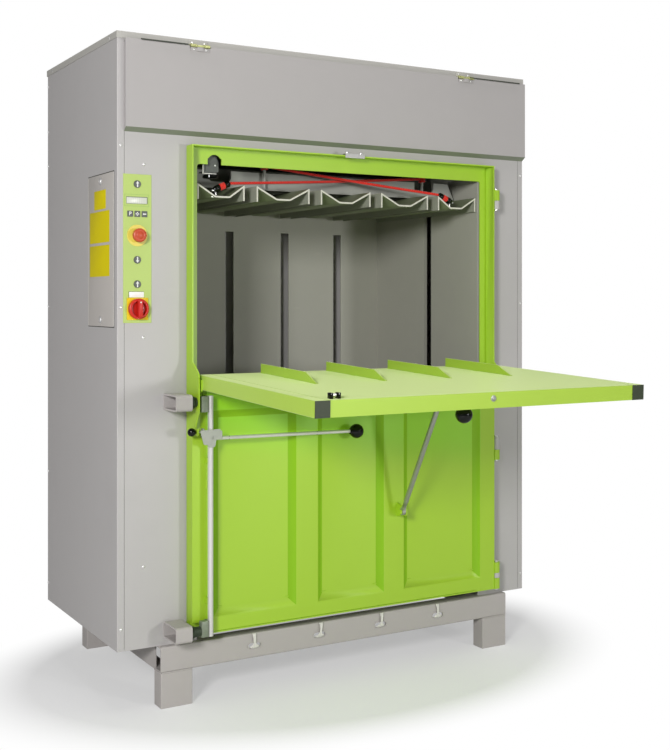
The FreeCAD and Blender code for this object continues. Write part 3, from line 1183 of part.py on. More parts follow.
def cord_path(points, radius):
    """A tube along straight runs with tangent arcs at the inner points."""
    edges = []
    start = points[0]
    for before, corner, after in zip(points, points[1:], points[2:]):
        into = (corner - before).normalize()
        out = (after - corner).normalize()
        turn = into.getAngle(out)
        shorter = min((corner - before).Length, (after - corner).Length)
        bend = 0.45 * shorter / math.tan(turn / 2)
        inset = 0.45 * shorter
        first = corner - into * inset
        last = corner + out * inset
        middle_way = (out - into).normalize()
        centre = corner + middle_way * (bend / math.cos(turn / 2))
        middle = centre - middle_way * bend
        edges.append(Part.LineSegment(start, first).toShape())
        edges.append(Part.Arc(first, middle, last).toShape())
        print("cord bend radius", round(bend, 1))
        start = last
    edges.append(Part.LineSegment(start, points[-1]).toShape())
    wire = Part.Wire(edges)
    way = points[1] - points[0]
    disc = Part.Face(Part.Wire(Part.makeCircle(radius, points[0], way)))
    tube = wire.makePipeShell([disc.OuterWire], True, False)
    print("cord volume ratio", round(tube.Volume / (math.pi * radius ** 2 * wire.Length), 4))
    return tube


def hook(start, way):
    """Sleeve on the cord's end, a shank and a hook that turns down into the valley."""
    radius = number("sleeve_round")
    length = number("sleeve_long")
    wire = number("hook_wire")
    ring = number("hook_ring")
    sleeve = Part.makeCylinder(radius, length, start, way)
    end = start + way * length
    sideways = way.cross(FreeCAD.Vector(0, 0, 1)).normalize()
    down = way.cross(sideways).normalize()
    if down.z > 0:
        down = down * -1
    centre = end + way * (2 * wire) + down * ring
    shank = Part.makeCylinder(wire, 2 * wire, end, way)
    turn = math.radians(number("hook_turn"))
    places = [centre + way * (ring * math.sin(turn * f)) - down * (ring * math.cos(turn * f))
              for f in (0.0, 0.5, 1.0)]
    path = Part.Wire([Part.Arc(*places).toShape()])
    disc = Part.Wire(Part.makeCircle(wire, places[0], way))
    bend = path.makePipeShell([disc], True, False)
    return sleeve.fuse([shank, bend])


def cord(label, points):
    tube = doc.addObject("Part::Feature", "Cord")
    tube.Shape = cord_path([FreeCAD.Vector(*p) for p in points], number("cord_round"))
    subpart(label, "machine", tube)


hooks = []
for label, sign, post in (("right_cord", 1, POSTS[0]), ("left_cord", -1, POSTS[1])):
    mid = number("chamber_shift")
    side = number("right_cord_side" if sign > 0 else "left_cord_side")
    start = FreeCAD.Vector(mid + sign * side, number("platen_front + cord_back"),
                           number("base_top + cord_low"))
    end_x = mid + (1 if post[0] == "+" else -1) * number(post[1])
    end = FreeCAD.Vector(end_x, number(post[2]), number("platen_low + " + post[3]))
    past = (end - start).normalize() * number("post_round")
    cord(label, [start, end + past])
    sink = number("sleeve_drop")
    away = FreeCAD.Vector(sign * number("sleeve_long"), 0, -sink).normalize()
    piece = doc.addObject("Part::Feature", "Hook")
    piece.Shape = hook(start + away * number("sleeve_gap"), away)
    hooks.append(piece)
subpart("cord_hooks", "machine", *hooks)

# ---------------------------------------------------------------------------
# Power unit on the deck behind the hood
# ---------------------------------------------------------------------------
tank_x = "(tank_side - tank_wide/2)"
tank_body = box((tank_x, "tank_front", "deck_top"), ("tank_wide", "tank_deep", "tank_tall"))
filler_cap = bar("z", (tank_x + " + cap_inset", "tank_front + cap_inset", "deck_top + tank_tall"),
                 "cap_round", "cap_tall")
motor_x = "(tank_side + tank_wide/2 + pump_long)"
motor_y = "(tank_front + tank_deep/2)"
motor_z = "(deck_top + motor_foot + motor_round)"
motor_core = bar("x", (motor_x, motor_y, motor_z), "motor_round - motor_fin", "motor_long")
rings = []
for i in range(10):
    rings.append(bar("x", (motor_x + " + motor_inset + %d*motor_fin_gap" % i, motor_y, motor_z),
                     "motor_round", "motor_fin"))
motor_feet = box((motor_x + " + motor_inset", motor_y + " - motor_round*0.8", "deck_top"),
                 ("motor_long - 2*motor_inset", "motor_round*1.6", "motor_foot + motor_round*0.4"))
pump = bar("x", (motor_x + " - pump_long", motor_y, motor_z), "pump_round", "pump_long")
subpart("pump_motor", "machine", fuse(motor_core, motor_feet, *rings), pump)
block_x = "(tank_side + tank_wide/2 - block_wide - block_inset)"
valve_block = box((block_x, "tank_front + block_inset", "deck_top + tank_tall"),
                  ("block_wide", "block_deep", "block_tall"))
subpart("oil_tank", "machine", tank_body, filler_cap, valve_block)

# ---------------------------------------------------------------------------
# Control column: coloured plate, box behind it, buttons, display, switches
# ---------------------------------------------------------------------------
plate_x = "(plate_left - half_wide)"
plate_box = box((plate_x, "0 - plate_thick", "base_top + plate_low"),
                ("plate_right - plate_left", "plate_thick", "plate_high - plate_low"))
BUTTONS = [("up_button", "up_key_up"), ("down_button", "down_key_up"), ("raise_button", "raise_key_up")]
KEYS = [("program_key", "- key_side"), ("plus_key", "+ 0"), ("minus_key", "+ key_side")]
holes = []
for name, z in BUTTONS:
    holes.append(bar("y", ("column_x", "0 - plate_thick - 1", "base_top + " + z), "button_hole",
                     "plate_thick + 2"))
for name, shift in KEYS:
    holes.append(box(("column_x %s - key_size/2 - running" % shift, "0 - plate_thick - 1",
                      "base_top + key_up - key_size/2 - running"),
                     ("key_size + 2*running", "plate_thick + 2", "key_size + 2*running")))
holes.append(bar("y", ("column_x", "0 - plate_thick - 1", "base_top + stop_up"),
                 "stop_neck + running", "plate_thick + 2"))
holes.append(bar("y", ("column_x", "0 - plate_thick - 1", "base_top + switch_up"),
                 "shaft_round + running", "plate_thick + 2"))
front_plate = cut(plate_box, *holes)
box_x = "(plate_left + box_margin + box_gap - half_wide)"
box_wide = "plate_right - plate_left - 2*box_margin - 2*box_gap"
box_outer = box((box_x, "0", "base_top + plate_low + box_margin"),
                (box_wide, "box_deep", "plate_high - plate_low - 2*box_margin"))
box_inner = box((box_x + " + skin", "0 - 1", "base_top + plate_low + box_margin + skin"),
                (box_wide + " - 2*skin", "box_deep - skin + 1",
                 "plate_high - plate_low - 2*box_margin - 2*skin"))
subpart("control_plate", "machine", front_plate, cut(box_outer, box_inner))

for name, z in BUTTONS:
    subpart(name, "machine",
            fuse(bar("y", ("column_x", "0 - plate_thick - button_out", "base_top + " + z),
                     "button_round", "button_out + button_back")))
for name, shift in KEYS:
    subpart(name, "machine",
            box(("column_x %s - key_size/2" % shift, "0 - plate_thick - key_out",
                 "base_top + key_up - key_size/2"), ("key_size", "key_out + button_back", "key_size")))
display = fuse(box(("display_left - half_wide - display_frame/2", "0 - plate_thick - display_thick*0.4",
                  "base_top + display_low - display_frame/2"),
                 ("display_right - display_left + display_frame", "display_thick*0.4",
                  "display_high - display_low + display_frame")),
             box(("display_left - half_wide", "0 - plate_thick - display_thick", "base_top + display_low"),
                 ("display_right - display_left", "display_thick", "display_high - display_low")))
switch_label = box(("label_left - half_wide", "0 - plate_thick - label_thick", "base_top + label_low"),
            ("label_right - label_left", "label_thick", "label_high - label_low"))
stop_z = "(base_top + stop_up)"
stop_collar = cut(bar("y", ("column_x", "0 - plate_thick - stop_disc_thick", stop_z), "stop_disc",
                "stop_disc_thick"),
            bar("y", ("column_x", "0 - plate_thick - stop_disc_thick - 1", stop_z),
                "stop_neck + running", "stop_disc_thick + 2"))
stop_face = "0 - plate_thick - stop_disc_thick - stop_out"
subpart("stop_button", "machine",
        fuse(bar("y", ("column_x", stop_face, stop_z), "stop_head", "stop_head_thick"),
             bar("y", ("column_x", stop_face + " + 1", stop_z), "stop_neck",
                 "stop_out + stop_disc_thick + plate_thick + button_back")))
switch_z = "(base_top + switch_up)"
switch_face = "0 - plate_thick - switch_plate_thick"
switch_base = cut(box(("column_x - switch_plate/2", switch_face, switch_z + " - switch_plate/2"),
                ("switch_plate", "switch_plate_thick", "switch_plate")),
            bar("y", ("column_x", switch_face + " - 1", switch_z), "shaft_round + running",
                "switch_plate_thick + 2"))
subpart("control_fittings", "machine", display, switch_label, stop_collar, switch_base)
subpart("main_switch", "machine",
        fuse(bar("y", ("column_x", switch_face + " - switch_disc_thick - running", switch_z),
                 "switch_disc", "switch_disc_thick"),
             box(("column_x - switch_grip_wide/2",
                  switch_face + " - switch_disc_thick - switch_grip_thick - running",
                  switch_z + " - switch_grip_tall/2"),
                 ("switch_grip_wide", "switch_grip_thick + 1", "switch_grip_tall")),
             bar("y", ("column_x", switch_face + " - switch_disc_thick", switch_z), "shaft_round",
                 "switch_disc_thick + switch_plate_thick + plate_thick + button_back")))

# ---------------------------------------------------------------------------
# Flap safety switch in the top left corner of the opening
# ---------------------------------------------------------------------------
tongue_x = "(chamber_shift + tongue_side)"
tongue = fuse(box((tongue_x + " - tongue_wide/2", "tongue_back", "base_top + tongue_low"),
                  ("tongue_wide", "tongue_thick", "tongue_high - tongue_low - tongue_wide/2")),
              bar("y", (tongue_x, "tongue_back", "base_top + tongue_high - tongue_wide/2"),
                  "tongue_wide/2", "tongue_thick"))
bracket = fuse(
    box((tongue_x + " - tongue_wide*0.7", "tongue_back + tongue_thick", "base_top + tongue_low"),
        ("tongue_wide*1.1", "tongue_thick", "deck_up - tongue_low")),
    box((tongue_x + " - tongue_wide*0.7", "tongue_back + tongue_thick",
         "base_top + tongue_low - tongue_thick"), ("tongue_wide*1.1", "bracket_foot", "tongue_thick")))
subpart("safety_switch", "machine", tongue, bracket)

# ---------------------------------------------------------------------------
# Strap tails that hang from the door gap into the holes of the front beam
# ---------------------------------------------------------------------------
tails = []
for k in STRAPS:
    tails.append(box(("%s - strap_wide/2" % strap_x(k), "0 - beam_out - rim_out - strap_thick",
                      "base_top - beam_tall/2 - eyelet_tall*0.2"),
                     ("strap_wide", "strap_thick", "beam_tall/2 + eyelet_tall*0.2 + 4")))
subpart("strap_tails", "machine", *tails)

# ---------------------------------------------------------------------------
# Check every object, then write one file for each sub-part
# ---------------------------------------------------------------------------
doc.recompute()
faults = [o.Name for o in doc.Objects if "Invalid" in o.State or "Error" in o.State]
for group in SUBPARTS:
    if group.Shape.isNull() or not group.Shape.isValid() or not group.Shape.Solids:
        faults.append(group.Label)
if faults:
    raise RuntimeError("failed: " + ", ".join(faults))

os.makedirs("parts", exist_ok=True)
for group in SUBPARTS:
    group.Shape.exportStep(os.path.join("parts", group.Label + ".step"))
print(len(SUBPARTS), "sub-parts written")
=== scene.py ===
"""Low-height cardboard baler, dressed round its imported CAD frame.

Places are in the machine's own millimetres, as in the part's source: x from the middle of
the casing, y backwards from its front sheet, z up from the floor.
"""
import bpy
import bmesh
import json
import math
from mathutils import Matrix, Vector

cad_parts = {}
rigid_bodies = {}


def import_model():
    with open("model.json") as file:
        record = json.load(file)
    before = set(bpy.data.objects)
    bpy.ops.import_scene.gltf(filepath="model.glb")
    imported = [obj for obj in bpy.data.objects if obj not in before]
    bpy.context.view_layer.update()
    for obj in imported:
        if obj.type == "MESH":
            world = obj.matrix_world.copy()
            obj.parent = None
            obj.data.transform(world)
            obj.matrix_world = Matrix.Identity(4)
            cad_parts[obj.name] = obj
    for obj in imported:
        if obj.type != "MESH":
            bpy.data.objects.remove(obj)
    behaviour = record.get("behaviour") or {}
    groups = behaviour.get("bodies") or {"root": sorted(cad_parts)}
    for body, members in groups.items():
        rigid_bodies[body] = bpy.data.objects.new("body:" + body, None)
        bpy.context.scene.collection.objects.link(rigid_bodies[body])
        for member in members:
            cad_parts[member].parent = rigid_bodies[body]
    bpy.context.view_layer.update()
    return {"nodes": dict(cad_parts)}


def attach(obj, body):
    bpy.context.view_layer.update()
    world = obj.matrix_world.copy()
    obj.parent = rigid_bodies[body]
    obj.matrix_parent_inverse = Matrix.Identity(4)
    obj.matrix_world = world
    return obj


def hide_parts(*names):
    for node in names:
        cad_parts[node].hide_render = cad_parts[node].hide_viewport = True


for spare in list(bpy.data.objects):
    bpy.data.objects.remove(spare)
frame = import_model()

# ----- Camera -----
# A tripod camera at chest height, turned 30 degrees to the machine's front and
# levelled, with its lens shifted down so that upright edges stay upright.
camera = bpy.data.objects.new("camera", bpy.data.cameras.new("camera"))
bpy.context.scene.collection.objects.link(camera)
camera.location = (-1.89395, -3.19856, 1.20098)
camera.rotation_euler = (math.radians(90), 0, -0.527)
camera.data.lens = 55.8505
camera.data.shift_y = -0.10006
bpy.context.scene.camera = camera
bpy.context.scene.view_settings.view_transform = "Standard"

# ----- Elastic cords -----
# Two red rubber cords in a woven sleeve, stretched across the platen to two posts.
# Each is knotted round its post and ends in front in a moulded grip with a wire hook.
MACHINE = Matrix.Scale(0.001, 4) @ Matrix.Translation((1.85, 27.341, 0))


class Shade:
    """A shader socket that takes part in Python sums; each sum adds a Math node."""

    def __init__(self, finish, socket):
        self.finish, self.socket = finish, socket

    def maths(self, operation, *values):
        return self.finish.node("ShaderNodeMath", {"operation": operation},
                                dict(enumerate(values)))

    def __add__(self, other):
        return self.maths("ADD", self, other)

    def __rsub__(self, other):
        return self.maths("SUBTRACT", other, self)

    def __mul__(self, other):
        return self.maths("MULTIPLY", self, other)

    __radd__, __rmul__ = __add__, __mul__

    def larger(self, other):
        return self.maths("MAXIMUM", self, other)

    def between(self, low, high):
        """0 up to low, 1 from high, and smooth in between."""
        return self.finish.node("ShaderNodeMapRange", {"interpolation_type": "SMOOTHSTEP"},
                                {"Value": self, "From Min": low, "From Max": high})


class Finish:
    """One procedural finish: a node tree, its shader and the object's coordinates."""

    def __init__(self, name, **fixed):
        self.material = bpy.data.materials.new(name)
        self.material.use_nodes = True
        self.tree = self.material.node_tree
        self.shader = self.tree.nodes["Principled BSDF"]
        self.done(**fixed)
        self.place = self.node("ShaderNodeTexCoord", {}, {}, "Object")

    def join(self, socket, value):
        if isinstance(value, Shade):
            self.tree.links.new(value.socket, socket)
        elif socket.type == "RGBA":
            socket.default_value = (*value[:3], 1)
        else:
            socket.default_value = value

    def node(self, kind, settings, sockets, output=None):
        """Add a node; sockets are found by name or number among those that are in use."""
        made = self.tree.nodes.new(kind)
        for name, value in settings.items():
            setattr(made, name, value)
        free = [s for s in made.inputs if s.enabled]
        for name, value in sockets.items():
            if isinstance(name, int):
                self.join(free[name], value)
            else:
                self.join(next(s for s in free if s.name == name), value)
        ways = [s for s in made.outputs if s.enabled]
        return Shade(self, next((s for s in ways if s.name == output), ways[0]))

    def stretched(self, scale=(1, 1, 1), turn=(0, 0, 0), centre=(0, 0, 0)):
        """The object's coordinates, moved, turned and stretched."""
        return self.node("ShaderNodeMapping", {}, {"Vector": self.place, "Scale": scale,
                                                   "Rotation": turn, "Location": centre})

    def noise(self, scale, detail=2.0, rough=0.5, place=None):
        return self.node("ShaderNodeTexNoise", {}, {"Vector": place or self.place, "Scale": scale,
                                                    "Detail": detail, "Roughness": rough})

    def clouds(self):
        """Broad clouds with finer ones in them, from 0 to 1."""
        return self.noise(1.6, 3) * 0.7 + self.noise(22, 3) * 0.3

    def bands(self, scale, place):
        return self.node("ShaderNodeTexWave", {"wave_type": "BANDS", "bands_direction": "X"},
                         {"Vector": place, "Scale": scale, "Distortion": 0.0}, "Fac")

    def mix(self, share, one, other):
        """Colour one where share is 0, the other where it is 1."""
        return self.node("ShaderNodeMix", {"data_type": "RGBA"},
                         {"Factor": share, "A": one, "B": other}, "Result")

    def bump(self, height, depth, strength=1.0):
        return self.node("ShaderNodeBump", {}, {"Height": height, "Distance": depth,
                                                "Strength": strength})

    def done(self, **sockets):
        for socket, value in sockets.items():
            self.join(self.shader.inputs[socket.replace("_", " ")], value)
        return self.material


def tint(red, green, blue):
    """A colour written in the 0 to 255 steps of a screen, as light."""
    return tuple(c / 255 / 12.92 if c < 11 else ((c / 255 + 0.055) / 1.055) ** 2.4
                 for c in (red, green, blue))


def woven_red():
    sleeve = Finish("woven_red", Specular_IOR_Level=0.3, Sheen_Weight=0.25)
    one = sleeve.bands(110, sleeve.stretched(turn=(0, 0.8, 0.9)))
    other = sleeve.bands(110, sleeve.stretched(turn=(0, -0.8, -0.9)))
    strands = one * other
    fleck = sleeve.noise(900, 1).between(0.62, 0.72)
    colour = sleeve.mix(strands.between(0.05, 0.6), tint(196, 28, 20), tint(248, 58, 40))
    return sleeve.done(Base_Color=sleeve.mix(fleck * 0.25, colour, tint(255, 120, 90)),
                       Roughness=0.75 - strands * 0.15, Normal=sleeve.bump(strands, 0.0006, 0.7))


RED_SLEEVE = woven_red()
SLEEVE_RADIUS = 0.0045


def elastic(name, node, points):
    """A cord drawn through its points, which rides on the platen."""
    curve = bpy.data.curves.new(name, "CURVE")
    curve.dimensions = "3D"
    spline = curve.splines.new("NURBS")
    spline.points.add(len(points) - 1)
    for control, place in zip(spline.points, points):
        control.co = (*(MACHINE @ Vector(place)), 1)
    spline.order_u = 3
    spline.use_endpoint_u = True
    curve.resolution_u = 24
    curve.bevel_depth = SLEEVE_RADIUS
    curve.bevel_resolution = 4
    curve.use_fill_caps = True
    curve.materials.append(RED_SLEEVE)
    cord = bpy.data.objects.new(name, curve)
    bpy.context.scene.collection.objects.link(cord)
    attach(cord, "platen")
    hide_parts(node)
    return cord


RIGHT_RUN = [(395, 14, 1558), (190, 47, 1580), (-20, 82, 1605), (-218.9, 115.8, 1630.6)]
LEFT_RUN = [(-383, 14, 1558), (-110, 60, 1578.5), (160, 105, 1601), (425.9, 150.8, 1625.4)]
right_elastic = elastic("right_elastic", "right_cord", RIGHT_RUN)
left_elastic = elastic("left_elastic", "left_cord", LEFT_RUN)


def only(kind, parts):
    """The corners (BMVert) or edges (BMEdge) among what an operator made."""
    return [part for part in parts if isinstance(part, getattr(bmesh.types, kind))]


def aimed(place, *axes):
    """The matrix of a place with its own three axes."""
    return Matrix.Translation(place) @ Matrix(axes).transposed().to_4x4()


MERGE = 0.002


def turned(work, outline, foot, axis, steps=32):
    """Turn an outline of (radius, height) pairs about an axis that starts at foot."""
    axis, foot = Vector(axis).normalized(), Vector(foot)
    side = axis.orthogonal().normalized()
    row = [work.verts.new(foot + axis * high + side * radius) for radius, high in outline]
    edges = [work.edges.new(pair) for pair in zip(row, row[1:])]
    made = bmesh.ops.spin(work, geom=row + edges, cent=foot, axis=axis, dvec=(0, 0, 0),
                          angle=2 * math.pi, steps=steps, use_merge=True)
    verts = set(row + only("BMVert", made["geom_last"]))
    reach = list(verts)
    while reach:
        for edge in reach.pop().link_edges:
            for vert in edge.verts:
                if vert not in verts:
                    verts.add(vert)
                    reach.append(vert)
    bmesh.ops.remove_doubles(work, verts=list(verts), dist=MERGE)
    faces = {face for vert in verts if vert.is_valid for face in vert.link_faces}
    bmesh.ops.recalc_face_normals(work, faces=list(faces))


def rod(work, foot, way, radius, long, steps):
    """A plain round bar from foot, facing way."""
    turned(work, [(0, 0), (radius, 0), (radius, long), (0, long)], foot, way, steps)


def ring(work, centre, axis, radius, thick, steps=32, share=1.0, start=None):
    """Sweep a round wire of the given thickness about an axis."""
    axis = Vector(axis).normalized()
    side = Vector(start).normalized() if start else axis.orthogonal().normalized()
    place = aimed(Vector(centre) + side * radius, side, axis, side.cross(axis))
    wire = bmesh.ops.create_circle(work, segments=12, radius=thick / 2, matrix=place)["verts"]
    edges = list({edge for vert in wire for edge in vert.link_edges})
    made = bmesh.ops.spin(work, geom=wire + edges, cent=centre, axis=axis, dvec=(0, 0, 0),
                          angle=2 * math.pi * share, steps=steps, use_merge=share == 1)
    if share < 1:
        for loop in (edges, only("BMEdge", made["geom_last"])):
            bmesh.ops.contextual_create(work, geom=loop)
    bmesh.ops.recalc_face_normals(work, faces=work.faces[:])


def piece(name, work, finish, body, instead=None, place=MACHINE, crease=35):
    """Finish a mesh, hang it on its body and let it stand for a node of the CAD frame."""
    bmesh.ops.transform(work, matrix=place, verts=work.verts[:])
    mesh = bpy.data.meshes.new(name)
    work.to_mesh(mesh)
    work.free()
    mesh.materials.append(finish)
    mesh.shade_smooth()
    mesh.set_sharp_from_angle(angle=math.radians(crease))
    made = bpy.data.objects.new(name, mesh)
    bpy.context.scene.collection.objects.link(made)
    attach(made, body)
    if instead:
        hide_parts(instead)
    return made


def blended(name, dark, light, grain, dull, spread, gloss=None, skin=None, relief=None,
            drawn=None, shine=0.5, **fixed):
    """A finish that wanders between two shades, and as far between two degrees of gloss.

    grain is the noise behind the colour, or the count of its ribs; gloss and skin are the
    noises behind dullness and relief where those don't follow it. drawn stretches the grain.
    """
    made = Finish(name, Specular_IOR_Level=shine, **fixed)
    if isinstance(grain, tuple):
        colour = made.noise(*grain, place=made.stretched((1, 1, drawn)) if drawn else None)
    else:
        colour = made.bands(grain, made.place)
    if spread:
        dull = dull + (made.noise(*gloss) if gloss else colour) * spread
    made.done(Base_Color=made.mix(colour, tint(*dark), tint(*light)), Roughness=dull)
    if relief:
        made.done(Normal=made.bump(made.noise(*skin) if skin else colour, *relief))
    return made.material


BLACK = blended("black_plastic", (3, 6, 3), (7, 9, 6), (300, 2), 0.09, 0.06, gloss=(60, 3),
                skin=(700, 1), relief=(0.00001, 0.3), shine=0.3)
BRIGHT = blended("bright_zinc", (214, 213, 212), (244, 243, 242), (30, 3, 0.6), 0.2, 0.16,
                 skin=(700, 2), relief=(0.0001, 0.3), drawn=0.08, Metallic=0.7)


def works(count):
    """Empty meshes to work on."""
    return [bmesh.new() for _ in range(count)]


UP = (0, 0, 1)
GRIP = [(0, 0), (6.4, 0), (8.8, 3), (10, 9), (10.2, 15), (7.8, 19), (7.8, 33), (10, 37),
        (10.2, 46), (8.8, 54), (5, 58.5), (0, 59)]
GRIP_RIBS = (5, 10, 42, 47)
TIE_TURNS = (19.5, 24, 28.5, 33)
HOOK_RADIUS, HOOK_WIRE = 10, 5.4
for side, way, cord, run, post in (
        ("right", 1, right_elastic, RIGHT_RUN, (-214, 115, 1629)),
        ("left", -1, left_elastic, LEFT_RUN, (421, 150, 1624))):
    grip, wire, tie, knot = works(4)
    start = Vector(run[0])
    away = Vector((way * 48, 0, -20)).normalized()
    foot = start + away * 1.3
    turned(grip, GRIP, foot, away)
    for step in GRIP_RIBS:
        ring(grip, foot + away * step, away, 9.3, 2.2, 24)
    for step in TIE_TURNS:
        ring(tie, foot + away * step, away + Vector((0, 0.1, 0.08)), 8.4, 5, 24)
    end = foot + away * GRIP[-1][1]
    down = away.cross(away.cross(Vector(UP))).normalized()
    rod(wire, end - away * 3, away, HOOK_WIRE / 2, 8.2, 16)
    ring(wire, end + away * 5 + down * HOOK_RADIUS, down.cross(away), HOOK_RADIUS, HOOK_WIRE, 26,
         235 / 360, -down)
    x, y, z = post
    ring(knot, (x, y, z - 1), (0.12, 0, 1), 8.5, 7.5)
    ring(knot, (x, y, z - 8), (-0.1, 0.08, 1), 8.8, 7.5)
    turned(knot, [(0, -7), (5, -5.5), (7, -1), (6.5, 3), (4, 6), (0, 7)], (x, y - 9, z + 1),
           (1, 0.2, 0.3), 20)
    ends = [piece(side + "_grip", grip, BLACK, "platen", "cord_hooks"),
            piece(side + "_hook", wire, BRIGHT, "platen"),
            piece(side + "_tie", tie, RED_SLEEVE, "platen"),
            piece(side + "_knot", knot, RED_SLEEVE, "platen")]

# ----- Base frame and feet -----
# Two folded channel beams and two rails, welded up and powder coated mid grey.
# Four square box feet are welded under the beams with a hand-laid bead.
PALE_GREEN_BLOOM = (0.86, 0.95, 0.56)


def powder_coat(name, colour, dull=0.42, mottle=0.05, peel=0.35, worn=0.0, shine=0.35, bloom=0.0):
    """Powder coat: faint clouding, orange peel, and a little rubbing where hands wear it."""
    coat = Finish(name, Specular_IOR_Level=shine, Sheen_Weight=bloom, Sheen_Tint=PALE_GREEN_BLOOM)
    cloud, colour = coat.clouds(), Vector(tint(*colour))
    shade = coat.mix(cloud, colour * (1 - mottle), colour * (1 + mottle))
    rub = coat.noise(9, 5, 0.65, coat.stretched((1, 1, 2.4))).between(0.62, 0.76)
    grime = coat.noise(5, 4, 0.6).between(0.55, 0.8)
    shade = coat.mix(rub * (0.10 + worn), shade, colour * 1.2 + Vector((0.03, 0.03, 0.03)))
    shade = coat.mix(grime * 0.10, shade, colour * 0.72)
    return coat.done(Base_Color=shade, Roughness=dull + rub * 0.1 + cloud * 0.06,
                     Normal=coat.bump(coat.noise(420, 2), 0.00022, peel))


GREY = powder_coat("grey_powder_coat", (181, 178, 177))
DARK_GREY = powder_coat("base_powder_coat", (176, 171, 168), 0.46)


def node_shape(node, plain=True):
    """A CAD node's shape to work on, in metres; plain makes its flat faces whole again."""
    work = bmesh.new()
    work.from_mesh(frame["nodes"][node].data)
    bmesh.ops.remove_doubles(work, verts=work.verts[:], dist=1e-5)
    if plain:
        bmesh.ops.dissolve_limit(work, angle_limit=math.radians(0.6), verts=work.verts[:],
                                 edges=work.edges[:])
    return work


def rounded(work, edges, reach, segments, clamp=True):
    """Round edges over as far as reach on each side."""
    return bmesh.ops.bevel(work, geom=edges, offset=reach, segments=segments, profile=0.5,
                           affect="EDGES", material=-1, clamp_overlap=clamp)["verts"]


AS_IT_IS = Matrix.Identity(4)


def softened(node, name, finish, body, width, shortest=30, segments=3, angle=30,
             plain=True, trim=None, joints=True):
    """A CAD node's shape with its long outer edges rounded as folding and welding leave them.

    width and shortest are in millimetres. trim changes the shape first, and without joints
    the edges that end where several sheets meet stay sharp.
    """
    work = node_shape(node, plain)
    if trim:
        trim(work)
    offset = width * 0.001
    picked = [edge for edge in work.edges
              if edge.is_manifold and edge.is_convex and edge.calc_length() > shortest * 0.001
              and (joints or all(len(vert.link_edges) == 3 for vert in edge.verts))
              and edge.calc_face_angle() > math.radians(angle)
              and all(face.calc_area() / edge.calc_length() > 2.2 * offset
                      for face in edge.link_faces)]
    rounded(work, picked, offset, segments)
    made = piece(name, work, finish, body, node, AS_IT_IS, 42)
    made.modifiers.new("flat_faces", "WEIGHTED_NORMAL").keep_sharp = True
    return made


softened("base_frame", "base_beams", DARK_GREY, "casing", 1.2, 20, joints=False)
softened("feet", "box_feet", DARK_GREY, "casing", 3)


def bead(work, start, end, radius, seed=0.0):
    """A hand-laid weld bead: a rippled run of metal from start to end."""
    start, end = Vector(start), Vector(end)
    way = (end - start).normalized()
    side = way.orthogonal().normalized()
    count = max(6, int((end - start).length / (radius * 0.8)))
    place = aimed(start, side, way.cross(side), way)
    rim = bmesh.ops.create_circle(work, segments=8, radius=radius * 0.5, matrix=place,
                                  cap_ends=True)["verts"]
    loop = list({edge for vert in rim for edge in vert.link_edges})
    for i in range(1, count + 1):
        made = bmesh.ops.extrude_edge_only(work, edges=loop)["geom"]
        rim, loop = only("BMVert", made), only("BMEdge", made)
        bmesh.ops.translate(work, vec=(end - start) / count, verts=rim)
        centre = start + (end - start) * i / count
        swell = radius * (0.5 if i == count else 0.9 + 0.16 * math.sin(2.6 * i + seed)
                          + 0.1 * math.sin(0.9 * i + 2 * seed))
        for vert in rim:
            vert.co = centre + (vert.co - centre).normalized() * swell
    bmesh.ops.contextual_create(work, geom=loop)
    bmesh.ops.recalc_face_normals(work, faces=work.faces[:])


FOOT_TOP, FOOT_FRONT, FOOT_BACK, FOOT_BEAD = 105, -20.5, 711, 2.4
beads = bmesh.new()
for left, right in ((-621, -521), (557, 657)):
    for y in (FOOT_FRONT, FOOT_BACK):
        seed = left if y < 0 else right
        bead(beads, (left + 2, y, FOOT_TOP), (right - 2, y, FOOT_TOP), FOOT_BEAD, seed)
for x in (-621.4, 657.4):
    bead(beads, (x, -18, FOOT_TOP), (x, 31, FOOT_TOP), FOOT_BEAD, x)
piece("foot_welds", beads, DARK_GREY, "casing")

# ----- Strap tails -----
# Four ends of white bale strap, pushed up through the oval holes of the front beam.
# Each widens where it lies in its hole; the middle two are twisted.
WHITE_STRAP = blended("white_strap", (196, 194, 186), (226, 224, 218), 160, 0.35, 0.1,
                      relief=(0.0003, 0.4))
STRAP_HOLES = (-316, -88, 140, 368)
TAIL_FOOT, TAIL_TALL, STRAP_WIDE, FLARE, BEAM_FRONT = 139, 42, 13, 24, -23.3

tails = bmesh.new()
for x, lean, twist in zip(STRAP_HOLES, (-2, 5, 4, -2), (6, 42, -38, 5)):
    sheet = bmesh.ops.create_grid(tails, x_segments=4, y_segments=14, size=0.5)["verts"]
    for vert in sheet:
        across, up = vert.co.x, vert.co.y + 0.5
        arch = math.sin(math.pi * up)
        wide = (STRAP_WIDE - 4 * math.sin(math.pi * min(1, up * 1.1))
                + FLARE * max(0, 0.22 - up) / 0.22)
        turn = math.radians(twist) * arch
        bow = 5 * max(0, 0.2 - up) / 0.2 * (1 - 4 * across * across)
        vert.co = (x + lean * up + across * wide * math.cos(turn),
                   BEAM_FRONT - 2.4 * arch - abs(across * wide * math.sin(turn)),
                   TAIL_FOOT + TAIL_TALL * up - bow)
bmesh.ops.recalc_face_normals(tails, faces=tails.faces[:])
strap_ends = piece("strap_ends", tails, WHITE_STRAP, "casing", "strap_tails",
                   crease=60)


def walled(made, offset):
    """Give a sheet the wall of a thin strap or tube."""
    wall = made.modifiers.new("wall", "SOLIDIFY")
    wall.thickness = 0.0009
    wall.offset = offset


walled(strap_ends, 0)

# ----- Press chamber -----
# Plate floor with let-in strap channels, side walls with a slot for the crosshead,
# a slotted back wall and the deck above; all welded, coated and a little rubbed.
CHAMBER = powder_coat("chamber_coat", (170, 169, 158), 0.5, 0.07, 0.4, 0.15)


